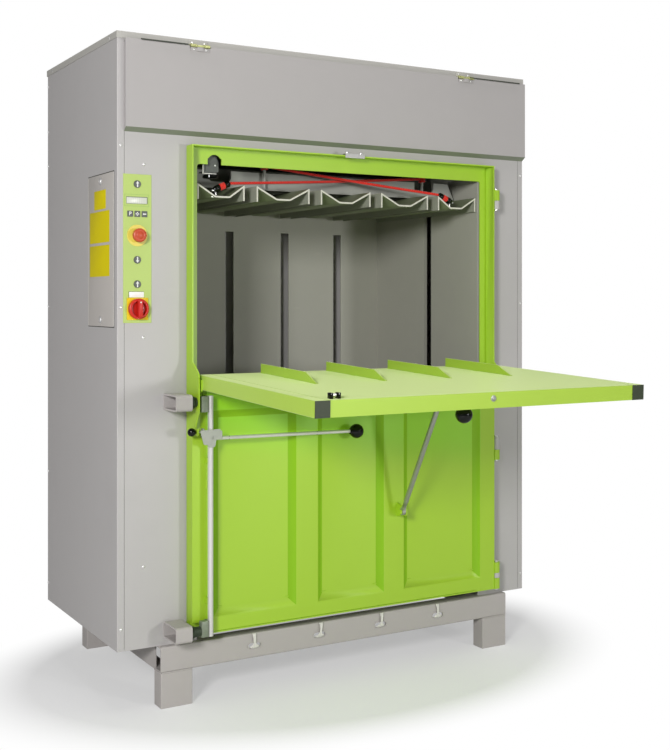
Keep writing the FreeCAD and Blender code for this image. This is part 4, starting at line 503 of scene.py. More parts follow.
def dress(finish, *nodes):
    """Give CAD nodes that are seen as they are a finish."""
    for node in nodes:
        for holder in frame["nodes"][node].material_slots:
            holder.material = finish


dress(CHAMBER, "chamber_floor", "chamber_side_walls", "chamber_back_wall")
# Painted shade: the service deck gets a near-black grey, for the shade under it.
dress(powder_coat("deck_painted_shade_coat", (70, 74, 66), 0.6, 0.07, 0.4, 0.1), "service_deck")

# ----- Casing sheets and lid -----
# Side panels folded round the front and rear edge, flat front and back sheets, and
# a folded lid; light grey powder coat, held with small zinc pan-head screws.
softened("side_panels", "side_sheets", GREY, "casing", 2.6, 200)
dress(GREY, "front_panel", "back_panel")
LID = powder_coat("lid_powder_coat", (178, 176, 170))
softened("lid", "folded_lid", LID, "casing", 2.0, 200)
TO_FRONT, TO_BACK, TO_LEFT, TO_RIGHT = (0, -1, 0), (0, 1, 0), (-1, 0, 0), (1, 0, 0)
HEAD = 4.2


def screw(work, place, way, tall=2.4):
    """A pan-head screw with a cross recess, standing on place and facing way."""
    turned(work, [(0, tall), (HEAD * 0.22, tall), (HEAD * 0.55, tall * 0.93),
                  (HEAD * 0.86, tall * 0.66), (HEAD, tall * 0.25), (HEAD, 0), (0, 0)],
           place, way, 20)
    way = Vector(way).normalized()
    side = way.orthogonal().normalized()
    for arm in (side, way.cross(side)):
        spot = aimed(Vector(place) + way * (tall + 0.05), arm, way.cross(arm), way)
        bmesh.ops.create_cube(work, size=1,
                              matrix=spot @ Matrix.Diagonal((HEAD, HEAD * 0.2, 0.12, 1)))


screws = bmesh.new()
for x, heights in ((-737, (1650, 1180, 245)), (739, (1639, 1190, 235)), (-667, (1598,)),
                   (-668, (1091, 420))):
    for z in heights:
        screw(screws, (x, 0, z), TO_FRONT)
for z in (1924, 1771, 1655, 1180, 620, 240):
    screw(screws, (-748, 683, z), TO_LEFT)
    screw(screws, (748, 683, z), TO_RIGHT, 1.9)
for y in (61, 632):
    screw(screws, (-750.3, y, 1970), TO_LEFT, 2.0)
    screw(screws, (750.3, y, 1970), TO_RIGHT, 1.4)
for x in (-737, 737):
    for z in (240, 700, 1180, 1655, 1930):
        screw(screws, (x, 693, z), TO_BACK)
piece("panel_screws", screws, BRIGHT, "casing")

# ----- Access cover -----
# A flat sheet cover with rounded corners on the left side, held with two domed
# screws on washers, and three plain yellow stickers on it.
COVER = powder_coat("cover_powder_coat", (182, 177, 172))


def cube(work, low, high):
    """A sharp block between two corners."""
    low, high = Vector(low), Vector(high)
    place = Matrix.Translation((low + high) / 2) @ Matrix.Diagonal((*(high - low), 1))
    verts = bmesh.ops.create_cube(work, size=1, matrix=place)["verts"]
    return list({edge for vert in verts for edge in vert.link_edges})


def block(work, low, high, edge=0.0):
    """A block between two corners, its edges rounded where edge is given."""
    edges = cube(work, low, high)
    if edge:
        rounded(work, edges, edge, 2)


def plaque(work, low, high, axis, corner, edge):
    """A thin plate between two corners: round corners seen along axis, and soft rims."""
    upright = [e for e in cube(work, low, high)
               if abs((e.verts[0].co - e.verts[1].co).normalized()[axis]) > 0.9]
    made = rounded(work, upright, corner, 5, False)
    faces = {f for v in made for f in v.link_faces}
    rims = {e for f in faces for e in f.edges if len(e.link_faces) == 2
            and e.calc_face_angle() > 1.2}
    rounded(work, list(rims), edge, 2, False)


# Painted shadow: dark strips in the sheet seams beside the door and round the access cover.
SEAM = blended("seam_shadow", (66, 68, 62), (84, 86, 79), (40, 2), 0.8, 0, shine=0.1)
seams = bmesh.new()
for x in (-726.5, 726.5):
    block(seams, (x - 0.35, -0.2, 186), (x + 0.35, 0.3, 1956))
for y0, z0, y1, z1 in ((24, 1119.6, 258, 1122.6), (24, 1575.4, 258, 1578.6),
                       (24.2, 1121, 26.3, 1577), (255.7, 1121, 257.4, 1577)):
    block(seams, (-748.3, y0, z0), (-747.8, y1, z1))
piece("panel_seams", seams, SEAM, "casing")

cover = bmesh.new()
plaque(cover, (-749.5, 26, 1122), (-747.9, 256, 1576), 0, 4, 0.5)
piece("access_sheet", cover, COVER, "casing", "access_cover")
# Painted highlight: light strips along the access cover's front and back edges.
EDGE_HIGHLIGHT = blended("painted_edge_highlight", (206, 202, 194), (238, 236, 230), (90, 3), 0.4, 0.1, gloss=(30, 2))
rims = bmesh.new()
block(rims, (-749.75, 26.4, 1124), (-748.2, 28.6, 1574), 0.3)
block(rims, (-749.7, 254.2, 1124), (-748.2, 255.6, 1574), 0.3)
piece("cover_edges", rims, EDGE_HIGHLIGHT, "casing")
fixings = bmesh.new()
for z in (1142, 1556):
    for outline, steps in (([(0, 1), (6, 1), (10.4, 0.9), (11, 0.5), (11, 0), (0, 0)], 32),
                           ([(0, 4.4), (2, 4.3), (4.6, 3.8), (6.4, 2.6), (7, 1.4), (7, 0.9),
                             (0, 0.9)], 28)):
        turned(fixings, outline, (-749.5, 141, z), TO_LEFT, steps)
    block(fixings, (-754.05, 140.2, z - 3.4), (-753.2, 141.8, z + 3.4), 0.1)
piece("cover_screws", fixings, BRIGHT, "casing")

YELLOW_VINYL = blended("yellow_sticker", (206, 190, 3), (214, 198, 6), (14, 3), 0.45, 0.1,
                       skin=(60, 2), relief=(0.0003, 0.2), shine=0.18)
stickers = bmesh.new()
for y0, y1, z0, z1 in ((93, 198, 1472, 1529), (61, 240, 1372, 1466), (61, 240, 1271, 1364)):
    plaque(stickers, (-749.9, y0, z0), (-749.45, y1, z1), 0, 2.5, 0.1)
piece("cover_stickers", stickers, YELLOW_VINYL, "casing")

# ----- Hood and its hinges -----
# A long folded sheet in front of the power unit, its lower edge turned in as a chin.
# It hangs on two leaf hinges with yellow-zinc knuckles and painted leaves, riveted.
def recoated(made, finish, where):
    """Give the faces that where picks another finish."""
    made.data.materials.append(finish)
    for face in made.data.polygons:
        if where(face):
            face.material_index = len(made.data.materials) - 1


# Painted shade: the hood gets the casing's grey a step darker.
HOOD_SHADED_GREY = powder_coat("hood_painted_shade_coat", (171, 167, 166))
hood_sheet = softened("hood", "hood_sheet", HOOD_SHADED_GREY, "hood", 1.8, 60)
# Painted shade: the downward faces of the chin get a darker, greener grey, which also stands for a
# painted reflection of the green door below.
recoated(hood_sheet, powder_coat("chin_painted_shade_coat", (126, 132, 116), 0.5),
         lambda face: face.normal.z < -0.3)
# Painted shadow in the gaps along the hood's top edge.
slots = bmesh.new()
for low, high in ((-684.3, -535.4), (499.5, 715.3)):
    block(slots, (low, -25.8, 1957.4), (high, -24, 1961.2))
piece("hood_slots", slots, SEAM, "hood")
YELLOW_ZINC = blended("yellow_zinc", (176, 178, 112), (206, 208, 150), (55, 3), 0.36, 0.14,
                      Metallic=0.5)


def stub(work, foot, way, radius, long, rim, edge, steps=20):
    """A short round bar whose ends are taken down to rim over the last edge of its length."""
    turned(work, [(0, 0), (rim, 0), (radius, edge), (radius, long - edge), (rim, long), (0, long)],
           foot, way, steps)


HINGE_Y, HINGE_Z = -22, 1958
LEAF_HALF, KNUCKLE_HALF, KNUCKLE_GAP = 31, 10.2, 10.5
fixed_leaves, moving_leaves, rivets, hood_rivets = works(4)
for x in (-496, 487):
    left, right = x - LEAF_HALF, x + LEAF_HALF
    block(fixed_leaves, (left, -4.4, 1962), (right, -2.2, 1977.8), 0.5)
    for low, high in ((left, x - KNUCKLE_GAP), (x + KNUCKLE_GAP, right)):
        block(fixed_leaves, (low, HINGE_Y, 1957.8), (high, -3, 1963.6), 0.5)
        stub(fixed_leaves, (low, HINGE_Y, HINGE_Z), TO_RIGHT, 3.5, high - low, 3.1, 0.4)
    stub(moving_leaves, (x - KNUCKLE_HALF, HINGE_Y, HINGE_Z), TO_RIGHT, 3.55,
         2 * KNUCKLE_HALF, 3.1, 0.4)
    block(moving_leaves, (left, -20.4, 1942.8), (right, -18, 1953.7), 0.5)
    block(moving_leaves, (x - KNUCKLE_HALF, -23.7, 1942.8), (x + KNUCKLE_HALF, -19, 1957), 0.5)
    for side in (-20, 20):
        for work, y, z in ((rivets, -4.2, 1970), (hood_rivets, -20.3, 1948.2)):
            turned(work, [(0, 2.2), (1.6, 2), (3, 1.2), (3.6, 0), (0, 0)], (x + side, y, z),
                   TO_FRONT, 20)
leaves = piece("hood_hinges", fixed_leaves, YELLOW_ZINC, "casing",
               "hood_hinge_leaves")
hood_leaves = piece("hood_leaves", moving_leaves, YELLOW_ZINC, "hood")
for leaf, paint in ((leaves, LID), (hood_leaves, HOOD_SHADED_GREY)):
    recoated(leaf, paint, lambda face: abs(face.center.z - 1.9585) > 0.006)
piece("hinge_rivets", rivets, BRIGHT, "casing")
piece("hood_rivets", hood_rivets, BRIGHT, "hood")

# ----- Door -----
# A welded box frame with two cheeks, a back plate with the filling opening and a pressed
# lower panel; grass green powder coat, with painted shade high on the panel and in its
# folds, and painted light on the flank of the right cheek.
FRESH = {"mottle": 0.035, "peel": 0.3, "shine": 0.75}
GREEN = powder_coat("green_powder_coat", (159, 197, 36), 0.38, **FRESH)
RIGHT_CHEEK, LEFT_CHEEK = 0.568, -0.525
BOSS_LOW, BOSS_HIGH, SAW = 0.912, 0.951, 0.0001
FRAME_FRONT = -0.0222


def cheeks(work):
    """Cut the right cheek back above and below its pivot boss, and take the corners of the
    left one down: its shoulder is lowered and the foot of its arc raised."""
    for level in (BOSS_LOW, BOSS_HIGH):
        right = [face for face in work.faces if face.calc_center_median().x > RIGHT_CHEEK]
        edges = {edge for face in right for edge in face.edges}
        corners = {vert for edge in edges for vert in edge.verts}
        bmesh.ops.bisect_plane(work, geom=right + list(edges) + list(corners),
                               plane_co=(0, 0, level), plane_no=UP)
    for vert in work.verts:
        x, y, z = vert.co
        if x > RIGHT_CHEEK and y < -0.025 and not BOSS_LOW - SAW < z < BOSS_HIGH + SAW:
            vert.co.y = FRAME_FRONT
        elif x < LEFT_CHEEK and y < -0.0216 and 0.985 < z < 1.05:
            vert.co.z -= 0.028 if z > 1.02 else 0.018
        elif x < LEFT_CHEEK and y < -0.0595 and 0.84 < z < 0.87:
            vert.co.z += 0.02


ring_frame = softened("door_frame", "door_ring", GREEN, "door", 1.6, 20,
                      trim=cheeks)
# Painted light: the left-facing flank of the right cheek gets a lighter green.
recoated(ring_frame, powder_coat("green_flank_painted_light", (184, 222, 70), 0.36, **FRESH),
         lambda face: face.normal.x < -0.9 and face.center.x > 0.57)
dress(GREEN, "door_back_plate")
# Painted shade: high on the panel, where the flap's shade falls, the green turns deeper and more
# saturated, reaching lower towards the right.
coat = Finish("green_panel_coat", Specular_IOR_Level=0.7)
cloud = coat.clouds()
height, across = (coat.node("ShaderNodeSeparateXYZ", {}, {"Vector": coat.place}, way)
                  for way in "ZX")
flap_shade = (height + across * 0.12 + cloud * 0.05).between(0.69, 0.83)
unshaded_green = coat.mix(cloud, tint(157, 195, 35), tint(162, 200, 38))
PANEL = coat.done(Base_Color=coat.mix(flap_shade, unshaded_green, tint(145, 204, 10)),
                        Roughness=0.38 + cloud * 0.06,
                        Normal=coat.bump(coat.noise(420, 2), 0.00022, 0.3))
pressed = softened("door_panel", "pressed_panel", PANEL, "door", 3.2, 60,
                   segments=4, angle=12, plain=False)
# Painted shade: the sloped sides of the pressed fields, except those facing upwards, get a darker,
# duller green.
recoated(pressed, powder_coat("green_fold_painted_shade", (132, 182, 10), 0.5, 0.03, 0.3, shine=0.3),
         lambda face: -0.95 < face.normal.y < -0.4 and face.normal.z < 0.3)
softened("door_hinge_lugs", "hinge_lugs", GREEN, "door", 1.0, 10)
softened("casing_hinge_lugs", "hinge_carriers", GREY, "casing", 1.0, 10)

pins = bmesh.new()
for low, high in ((204, 304), (647, 734), (1508, 1583)):
    for end, way in ((low, 1), (high, -1)):
        turned(pins, [(0, -0.4), (5.2, -0.4), (6.2, 0.6), (6.2, 5), (0, 5)], (600, -40, end),
               (0, 0, way), 24)
piece("hinge_pins", pins, BRIGHT, "casing")

corner_beads = bmesh.new()
for left, right in ((-440, -212), (-82, 110), (240, 498)):
    for x in (left, right):
        bead(corner_beads, (x - 9, -34.6, 283), (x + 9, -34.6, 283), 1.5, x)
bead(corner_beads, (-488.6, -49.6, 640), (-488.6, -49.6, 668), 1.8, 3)
piece("panel_welds", corner_beads, GREEN, "door")

# ----- Strike plate -----
# A bent steel plate on top of the door that the flap's bolt snaps behind, held with
# two screws whose heads stand up from it.
PLATED = blended("dull_zinc", (176, 176, 172), (204, 203, 200), (120, 3, 0.6), 0.36, 0.16,
                 relief=(0.0003, 0.3), Metallic=0.85)
softened("strike_plate", "bent_strike", PLATED, "door", 0.9, 10)
strike_screws = bmesh.new()
for x in (0, 52):
    turned(strike_screws, [(0, 6.4), (3.4, 6.4), (4.8, 5.6), (5.2, 4.4), (5.2, 1), (7, 0.8),
                           (7, 0), (0, 0)], (x, -44, 1667), UP, 24)
piece("strike_screws", strike_screws, BRIGHT, "door")

# ----- Flap safety switch -----
# A dark tongue with a domed top on a bent bracket in the corner of the opening,
# with one small white mark on it.
DARK_PLASTIC = blended("dark_grey_plastic", (74, 77, 74), (92, 95, 90), (240, 3), 0.42, 0.14,
                       relief=(0.0002, 0.3), shine=0.45)
switch = softened("safety_switch", "switch_tongue", DARK_PLASTIC, "casing",
                  0.8, 12)
BRACKET_FRONT = 0.0405
recoated(switch, powder_coat("bracket_coat", (96, 98, 94), 0.5),
         lambda face: face.center.y > BRACKET_FRONT)
bracket_edge, gland, spot = works(3)
# Painted highlight: light strips along the bracket's edges.
block(bracket_edge, (-474.6, 9.5, 1583.5), (-472.4, 13.5, 1621), 0.4)
block(bracket_edge, (-474.6, 9.5, 1582.4), (-430, 13.5, 1584.6), 0.4)
piece("bracket_edges", bracket_edge, EDGE_HIGHLIGHT, "casing")
turned(gland, [(0, 0), (21, 0), (24, 2), (24, 9), (20, 11), (0, 11)], (-440.8, 30, 1571), UP, 36)
piece("switch_gland", gland, BLACK, "casing")
WHITE_MARK = blended("white_marks", (216, 217, 214), (236, 236, 234), (80, 2), 0.45, 0.1,
                     gloss=(200, 1), shine=0.4)
turned(spot, [(0, 0.8), (2, 0.7), (2.6, 0), (0, 0)], (-434, 10, 1609), TO_FRONT, 20)
piece("tongue_mark", spot, WHITE_MARK, "casing")

# ----- Loading flap -----
# A tray between two square tubes with four long fins on its inside for the straps.
# Its tube ends are closed with black plugs; a roller block meets the safety switch.
FLAP = MACHINE @ Matrix.Translation((0, -54, 937.5)) @ Matrix.Rotation(math.radians(2), 4, "X")
FLAP_GREEN = powder_coat("flap_powder_coat", (163, 198, 42), 0.34, bloom=0.6, **FRESH)
for node, name, width, shortest in (("flap_panel", "flap_tray", 2.0, 60),
                                    ("flap_tubes", "flap_side_tubes", 2.6, 60),
                                    ("flap_fins", "flap_strap_fins", 1.0, 20)):
    softened(node, name, FLAP_GREEN, "flap", width, shortest)
# Painted reflection: the black plugs get a green tint from the green flap around them.
PLUG_GREEN_REFLECTION = blended("plug_plastic_green_reflection", (46, 54, 38), (60, 69, 50), (120, 3), 0.4, 0.1, gloss=(60, 2),
               shine=0.4)
softened("flap_end_plugs", "flap_plugs", PLUG_GREEN_REFLECTION, "flap", 1.2, 12)
dress(GREEN, "flap_outer_skin", "flap_pivot_lugs")
fin_beads = bmesh.new()
TRAY_TOP = 43.2
for x in STRAP_HOLES:
    for side in (-3.2, 3.2):
        beside = x + side
        for y0, y1, radius, seed in ((-356, -322, 1.9, beside), (-190, -165, 1.7, x - side),
                                     (-40, -14, 1.7, x)):
            bead(fin_beads, (beside, y0, TRAY_TOP), (beside, y1, TRAY_TOP), radius, seed)
piece("fin_welds", fin_beads, GREEN, "flap", place=FLAP)
actuator, roller = bmesh.new(), bmesh.new()
for x in (-464, -441.6):
    block(actuator, (x, -687, 43), (x + 8.4, -672, 58), 0.8)
stub(roller, (-455.8, -679.5, 52), TO_RIGHT, 4.2, 12, 3.6, 0.6, 28)
piece("roller_block", actuator, BLACK, "flap", "flap_switch_actuator", FLAP)
piece("switch_roller", roller, BRIGHT, "flap", place=FLAP)

# ----- Flap latch -----
# A sprung round bolt in the flap's front edge, drawn with a black ball knob that
# hangs below the flap on a short stem.
BOLT_X, BOLT_Z, KNOB_Y = 26, 26, -578
bolt, knob = bmesh.new(), bmesh.new()
turned(bolt, [(0, 0), (4.4, 0), (6, 2.2), (6, 150), (0, 150)], (BOLT_X, -713, BOLT_Z), TO_BACK)
rod(bolt, (BOLT_X, KNOB_Y, -14), UP, 5, 40, 24)
turned(bolt, [(6, 0), (8.2, 0.4), (8.6, 1.4), (8.6, 3.4), (6, 3.4), (6, 0)],
       (BOLT_X, -709.4, BOLT_Z), TO_BACK, 28)
KNOB = [(0, -24), (6, -23.2), (12, -20.8), (17, -17), (21, -11.6), (23.4, -5.4), (24, 0),
        (23.2, 6), (20.8, 12), (17, 17), (12.6, 20.2), (9.5, 21.2), (8.4, 23.5), (8.4, 25.5),
        (5.1, 26), (5.1, 20), (0, 20)]
turned(knob, KNOB, (BOLT_X, KNOB_Y, -33), UP, 40)
BOLT = blended("worn_bolt_steel", (140, 144, 138), (186, 188, 182), (90, 4, 0.6), 0.3, 0.15,
               Metallic=0.8)
piece("pull_bolt", bolt, BOLT, "latch", "latch_bolt", FLAP)
piece("pull_knob", knob, BLACK, "latch", place=FLAP)

# ----- Flap strut -----
# A slim barrel of dull grey steel on a foot bracket on the door, and round it a thin
# sleeve that hangs from a bracket under the flap; the rod inside joins the two.
TUBE = blended("dull_tube", (150, 154, 142), (182, 184, 174), (40, 3, 0.6), 0.4, 0.15,
               drawn=0.15, Metallic=0.75)
LEAN = Matrix.Rotation(math.radians(29.23), 3, "X") @ Vector(UP)
STRUT_FOOT = Vector((180, -92, 518))
BARREL_RADIUS, BORE, EYE_END = 0.0066, 0.0065, 0.0125
barrel = node_shape("strut_tube", False)
foot = MACHINE @ STRUT_FOOT
for vert in barrel.verts:
    along = (vert.co - foot).dot(LEAN)
    spoke = vert.co - foot - LEAN * along
    if along > EYE_END and spoke.length > BORE:
        vert.co -= spoke * (1 - BARREL_RADIUS / spoke.length)
piece("strut_barrel", barrel, TUBE, "strut_lower", "strut_tube", AS_IT_IS)
dress(TUBE, "strut_rod")
sleeve = bmesh.new()
turned(sleeve, [(7.1, 40), (7.7, 40), (8, 40.6), (8, 424), (7.6, 425), (6, 425)], STRUT_FOOT, LEAN)
walled(piece("strut_sleeve", sleeve, TUBE, "strut_upper"), -1)
softened("strut_foot_bracket", "strut_foot", GREEN, "door", 0.8, 8)
softened("strut_head_bracket", "strut_head", GREEN, "flap", 0.8, 8)

# ----- Door lock -----
# A turning rod with a claw at each end, a hub plate and a long bar with a ball; a
# small sprung catch holds it, and two square box keepers stand on the casing.
ROD = blended("drawn_steel", (206, 204, 202), (232, 230, 228), (26, 3, 0.6), 0.24, 0.1,
              drawn=0.05, Metallic=0.5, shine=0.6)
dress(ROD, "lock_rod")
CAST = blended("cast_claw", (112, 124, 104), (158, 164, 148), (90, 4, 0.65), 0.42, 0.2,
               relief=(0.0008, 0.5), Metallic=0.5)
jaws = bmesh.new()
for low in (211, 871):
    for x0, x1, y0, y1 in ((-520.4, -497.5, -87, -67.2), (-503, -482, -79, -61)):
        block(jaws, (x0, y0, low + 0.5), (x1, y1, low + 47.5), 1.6)
piece("lock_jaws", jaws, CAST, "lock", "lock_claws")
HUB = blended("hub_steel", (146, 149, 140), (176, 178, 170), (40, 4, 0.6), 0.42, 0.14,
              skin=(160, 3), relief=(0.0003, 0.3), Metallic=0.5)
HUB_END, BAR_MIDDLE, BAR_DROP = -0.4585, -0.3, 0.0055
lever = softened("lock_handle", "lock_lever", ROD, "lock", 0.8, 10)
recoated(lever, HUB, lambda face: face.center.x < HUB_END)
for vert in lever.data.vertices:
    if vert.co.x > BAR_MIDDLE:
        vert.co.z -= BAR_DROP
grip_bar = bmesh.new()
turned(grip_bar, [(0, 0), (4.3, 0), (4.9, 0.8), (4.9, 474), (0, 474)], (-486, -79, 792.6),
       (476, 0, -5.6), 24)
piece("lever_bar", grip_bar, ROD, "lock")


def slab(work, corners, depth):
    """A flat outline grown towards the front."""
    face = work.faces.new([work.verts.new(corner) for corner in corners])
    grown = bmesh.ops.extrude_face_region(work, geom=[face])["geom"]
    bmesh.ops.translate(work, vec=(0, -depth, 0), verts=only("BMVert", grown))
    bmesh.ops.recalc_face_normals(work, faces=work.faces[:])


HUB_EDGE = [(-526.1, 818.5), (-461.8, 820.5), (-462.5, 805.5), (-490.3, 798.1), (-491.8, 777.3),
            (-494.9, 775.1), (-512.2, 776.1), (-515.2, 778.8), (-519.7, 796.4)]
hub, saddles = bmesh.new(), bmesh.new()
slab(hub, [(x, -86.9, z) for x, z in HUB_EDGE], 2.6)
piece("hub_plate", hub, HUB, "lock")
for low in (301, 715):
    block(saddles, (-494, -67.5, low + 2), (-482, -49, low + 20), 1.2)
piece("rod_saddles", saddles, GREEN, "door", "lock_saddles")
boxes = softened("lock_keepers", "lock_boxes", DARK_GREY, "casing", 0.8, 20)
STUD = blended("oiled_thread", (30, 40, 28), (92, 104, 84), 150, 0.4, 0.1,
               relief=(0.001, 0.8), Metallic=0.6)
STUD_END = -0.5513
recoated(boxes, STUD, lambda face: face.center.x > STUD_END)
balls, catch, catch_rod = works(3)
BALL = [(0, -25.4), (5.4, -25.4), (8.6, -25.2), (9, -24), (9.4, -21.4), (13, -19), (17, -15.5),
        (20.4, -10.6), (22.4, -5), (23, 0), (22.3, 5.6), (20.2, 11), (16.8, 15.7), (12, 19.6),
        (6.4, 22.1), (0, 23)]
turned(balls, BALL, (14, -79, 786.6), TO_RIGHT, 40)
rod(balls, (-31, -79, 786.8), TO_RIGHT, 4.6, 25, 20)
piece("lever_ball", balls, BLACK, "lock", "lock_ball")
CATCH = [(0, -13.6), (3.6, -13.6), (5, -13.4), (5.4, -12), (7.6, -10), (10.4, -7), (12.1, -3),
         (12.5, 0), (12, 3.6), (10.2, 7.2), (7.4, 10), (3.8, 11.9), (0, 12.5)]
CATCH_AT = (-548, -77, 814)
turned(catch, CATCH, CATCH_AT, TO_LEFT, 32)
rod(catch_rod, CATCH_AT, TO_RIGHT, 3.5, 31, 20)
piece("catch_knob", catch, BLACK, "catch", "lock_catch")
piece("catch_rod", catch_rod, BRIGHT, "catch")

# ----- Press platen -----
# Five folded channels with strap gaps between them, cream on their cut front edges, in a
# green-tinted grey as painted reflection of the green door and flap, with painted light on
# their left legs, carried by a crosshead whose webs are painted dark in the depth as painted
# shade.
RUBBED = {"mottle": 0.06, "peel": 0.4, "worn": 0.1}
# Painted light: the left-facing legs get a lighter grey.
PLATEN_LEG_LIGHT = powder_coat("platen_leg_painted_light", (152, 154, 140), 0.46, **RUBBED)
# Painted reflection: the platen's grey is tinted green for the green door and flap.
PLATEN_GREEN_REFLECTION = powder_coat("platen_painted_green_reflection", (134, 143, 110), 0.46, **RUBBED)
CREAM = powder_coat("cream_edge", (208, 206, 194), 0.5)
CROSSHEAD = powder_coat("crosshead_coat", (160, 161, 153), 0.46, **RUBBED)
channels = node_shape("platen_channels")
folds = [e for e in channels.edges if e.is_manifold and e.is_convex
         and abs((e.verts[0].co - e.verts[1].co).normalized().y) > 0.99
         and all(f.calc_area() / e.calc_length() > 0.008 for f in e.link_faces)]
rounded(channels, folds, 0.003, 3)
platen = piece("folded_platen", channels, PLATEN_GREEN_REFLECTION, "platen", "platen_channels",
               AS_IT_IS, 25)
recoated(platen, CREAM, lambda face: face.normal.y < -0.9)
# Painted light on the left-facing legs.
recoated(platen, PLATEN_LEG_LIGHT, lambda face: face.normal.x < -0.9)
webs = softened("crosshead", "crosshead_webs", CROSSHEAD, "platen", 0.9, 12)
# Painted shade: the crosshead's faces deep inside get a dark grey.
recoated(webs, powder_coat("shaded_web_coat", (84, 86, 76), 0.6),
         lambda face: face.center.y > 0.28)
dress(CHAMBER, "yokes", "press_cylinders")
dress(BRIGHT, "piston_rods")

# ----- Power unit -----
# An oil tank with a filler cap and valve block, and a finned black motor with its
# pump, standing on the deck behind the hood.
dress(CHAMBER, "oil_tank")
dress(BLACK, "pump_motor")

# ----- Control column -----
# A thin light green plate on a box let into the front sheet, with three buttons, three
# keys, a display behind a printed outline and a blank white label.
PLATE = powder_coat("control_plate_green", (176, 197, 108), 0.38, 0.02, 0.1)
softened("control_plate", "column_plate", PLATE, "casing", 0.5, 20)
BUTTON = blended("button_grey", (82, 86, 82), (98, 102, 98), (160, 3), 0.36, 0.1)
COLUMN = -687
ARROW = [(-0.2, -1), (0.2, -1), (0.2, 0.2), (0.56, 0.2), (0, 1), (-0.56, 0.2), (-0.2, 0.2)]
TALL = 8.8
for name, z, way in (("up_button", 1539, 1), ("down_button", 1318, -1), ("raise_button", 1247, 1)):
    cap, sign = bmesh.new(), bmesh.new()
    turned(cap, [(0, -12), (11, -12), (11, 1.6), (10.5, 2.3), (9.6, 2.5), (0, 2.5)],
           (COLUMN, -1.5, z), TO_FRONT, 36)
    slab(sign, [(COLUMN + a * TALL, -4.05, z + b * way * TALL) for a, b in ARROW], 0.25)
    piece(name + "_cap", cap, BUTTON, name, name)
    piece(name + "_arrow", sign, WHITE_MARK, name)


def letter(work, text, x, z):
    """A printed letter on a key, as a thin raised mesh."""
    curve = bpy.data.curves.new("letter", "FONT")
    curve.body = text
    curve.size = 15
    curve.extrude = 0.12
    curve.offset = 0.3
    curve.align_x = curve.align_y = "CENTER"
    shape = bpy.data.objects.new("letter", curve)
    mesh = bpy.data.meshes.new_from_object(shape)
    mesh.transform(Matrix.Translation((x, -3.12, z)) @ Matrix.Rotation(math.radians(90), 4, "X"))
    work.from_mesh(mesh)
    bpy.data.objects.remove(shape)


KEY_Z, KEY_HALF = 1452, 8.8
for name, x, text in (("program_key", COLUMN - 22, "P"), ("plus_key", COLUMN, "+"),
                      ("minus_key", COLUMN + 22, "-")):
    cap, sign = bmesh.new(), bmesh.new()
    plaque(cap, (x - KEY_HALF, -3, KEY_Z - KEY_HALF), (x + KEY_HALF, 10, KEY_Z + KEY_HALF), 1,
           1.6, 0.4)
    if text == "P":
        letter(sign, text, x, KEY_Z)
    else:
        block(sign, (x - 5.2, -3.3, KEY_Z - 1.8), (x + 5.2, -2.9, KEY_Z + 1.8), 0.1)
    if text == "+":
        block(sign, (x - 1.8, -3.3, KEY_Z - 5.2), (x + 1.8, -2.9, KEY_Z + 5.2), 0.1)
    piece(name + "_cap", cap, BUTTON, name, name)
    piece(name + "_sign", sign, WHITE_MARK, name)

glass = Finish("display_glass", Specular_IOR_Level=0.5)
cells = glass.bands(55, glass.place) * 0.5 + 0.5
DISPLAY = glass.done(Base_Color=glass.mix(cells, tint(190, 193, 182), tint(214, 215, 206)),
                     Roughness=0.18 + glass.noise(40, 2) * 0.1)
bezel, window, outline_mark, label, shade_line = works(5)
plaque(bezel, (-721, -3.6, 1481), (-656, -1.4, 1502), 1, 1.2, 0.4)
plaque(window, (-720.4, -4.0, 1482), (-658, -3.5, 1499.6), 1, 0.8, 0.1)
for x0, z0, x1, z1 in ((-726, 1474, -651, 1474.9), (-726, 1508.1, -651, 1509),
                       (-726, 1474, -725.1, 1509), (-651.9, 1474, -651, 1509)):
    block(outline_mark, (x0, -1.75, z0), (x1, -1.45, z1))
plaque(label, (-712, -2.5, 1208.5), (-667, -1.4, 1224.5), 1, 1, 0.3)
# Painted shadow along the label's left and top edges.
block(shade_line, (-713.6, -1.9, 1208), (-712.1, -1.4, 1225.4))
block(shade_line, (-713.6, -1.9, 1224.6), (-667, -1.4, 1225.6))
BEZEL = blended("bezel_grey", (118, 126, 104), (134, 142, 120), (90, 2), 0.4, 0.1, gloss=(50, 2),
                shine=0.4)
piece("display_bezel", bezel, BEZEL, "casing", "control_fittings")
piece("display_window", window, DISPLAY, "casing")
OUTLINE = powder_coat("outline_green", (140, 178, 92), 0.4, 0.02, 0.1)
piece("display_outline", outline_mark, OUTLINE, "casing")
LABEL = blended("white_label", (236, 236, 234), (246, 246, 245), (60, 2), 0.5, 0, shine=0.4)
piece("blank_label", label, LABEL, "casing")
piece("label_shadow", shade_line, SEAM, "casing")

# ----- Stop button and main switch -----
# A red mushroom head on a glossy yellow disc, and a red rotary switch with a raised
# grip and two white dots on a glossy yellow plate.
YELLOW = blended("yellow_plastic", (222, 186, 10), (234, 202, 22), (30, 2), 0.24, 0.08,
                 gloss=(90, 2), shine=0.6, Coat_Weight=0.3, Coat_Roughness=0.08)
COLLAR = blended("collar_yellow", (218, 200, 74), (228, 212, 96), (40, 2), 0.34, 0.08,
                 gloss=(70, 2))
STOP_RED, SWITCH_RED = (
    blended(name, dark, light, (45, 3), 0.34, 0.1, gloss=(130, 2))
    for name, dark, light in (("stop_red", (182, 66, 38), (196, 80, 48)),
                              ("switch_red", (186, 22, 12), (200, 32, 18))))
STOP_Z, SWITCH_Z = 1389, 1175
collar, switch_base, mushroom, rotor, dots = works(5)
turned(collar, [(12.3, 0), (31.5, 0), (31.5, 1.5), (31, 2), (12.3, 2), (12.3, 0)],
       (COLUMN, -1.5, STOP_Z), TO_FRONT, 56)
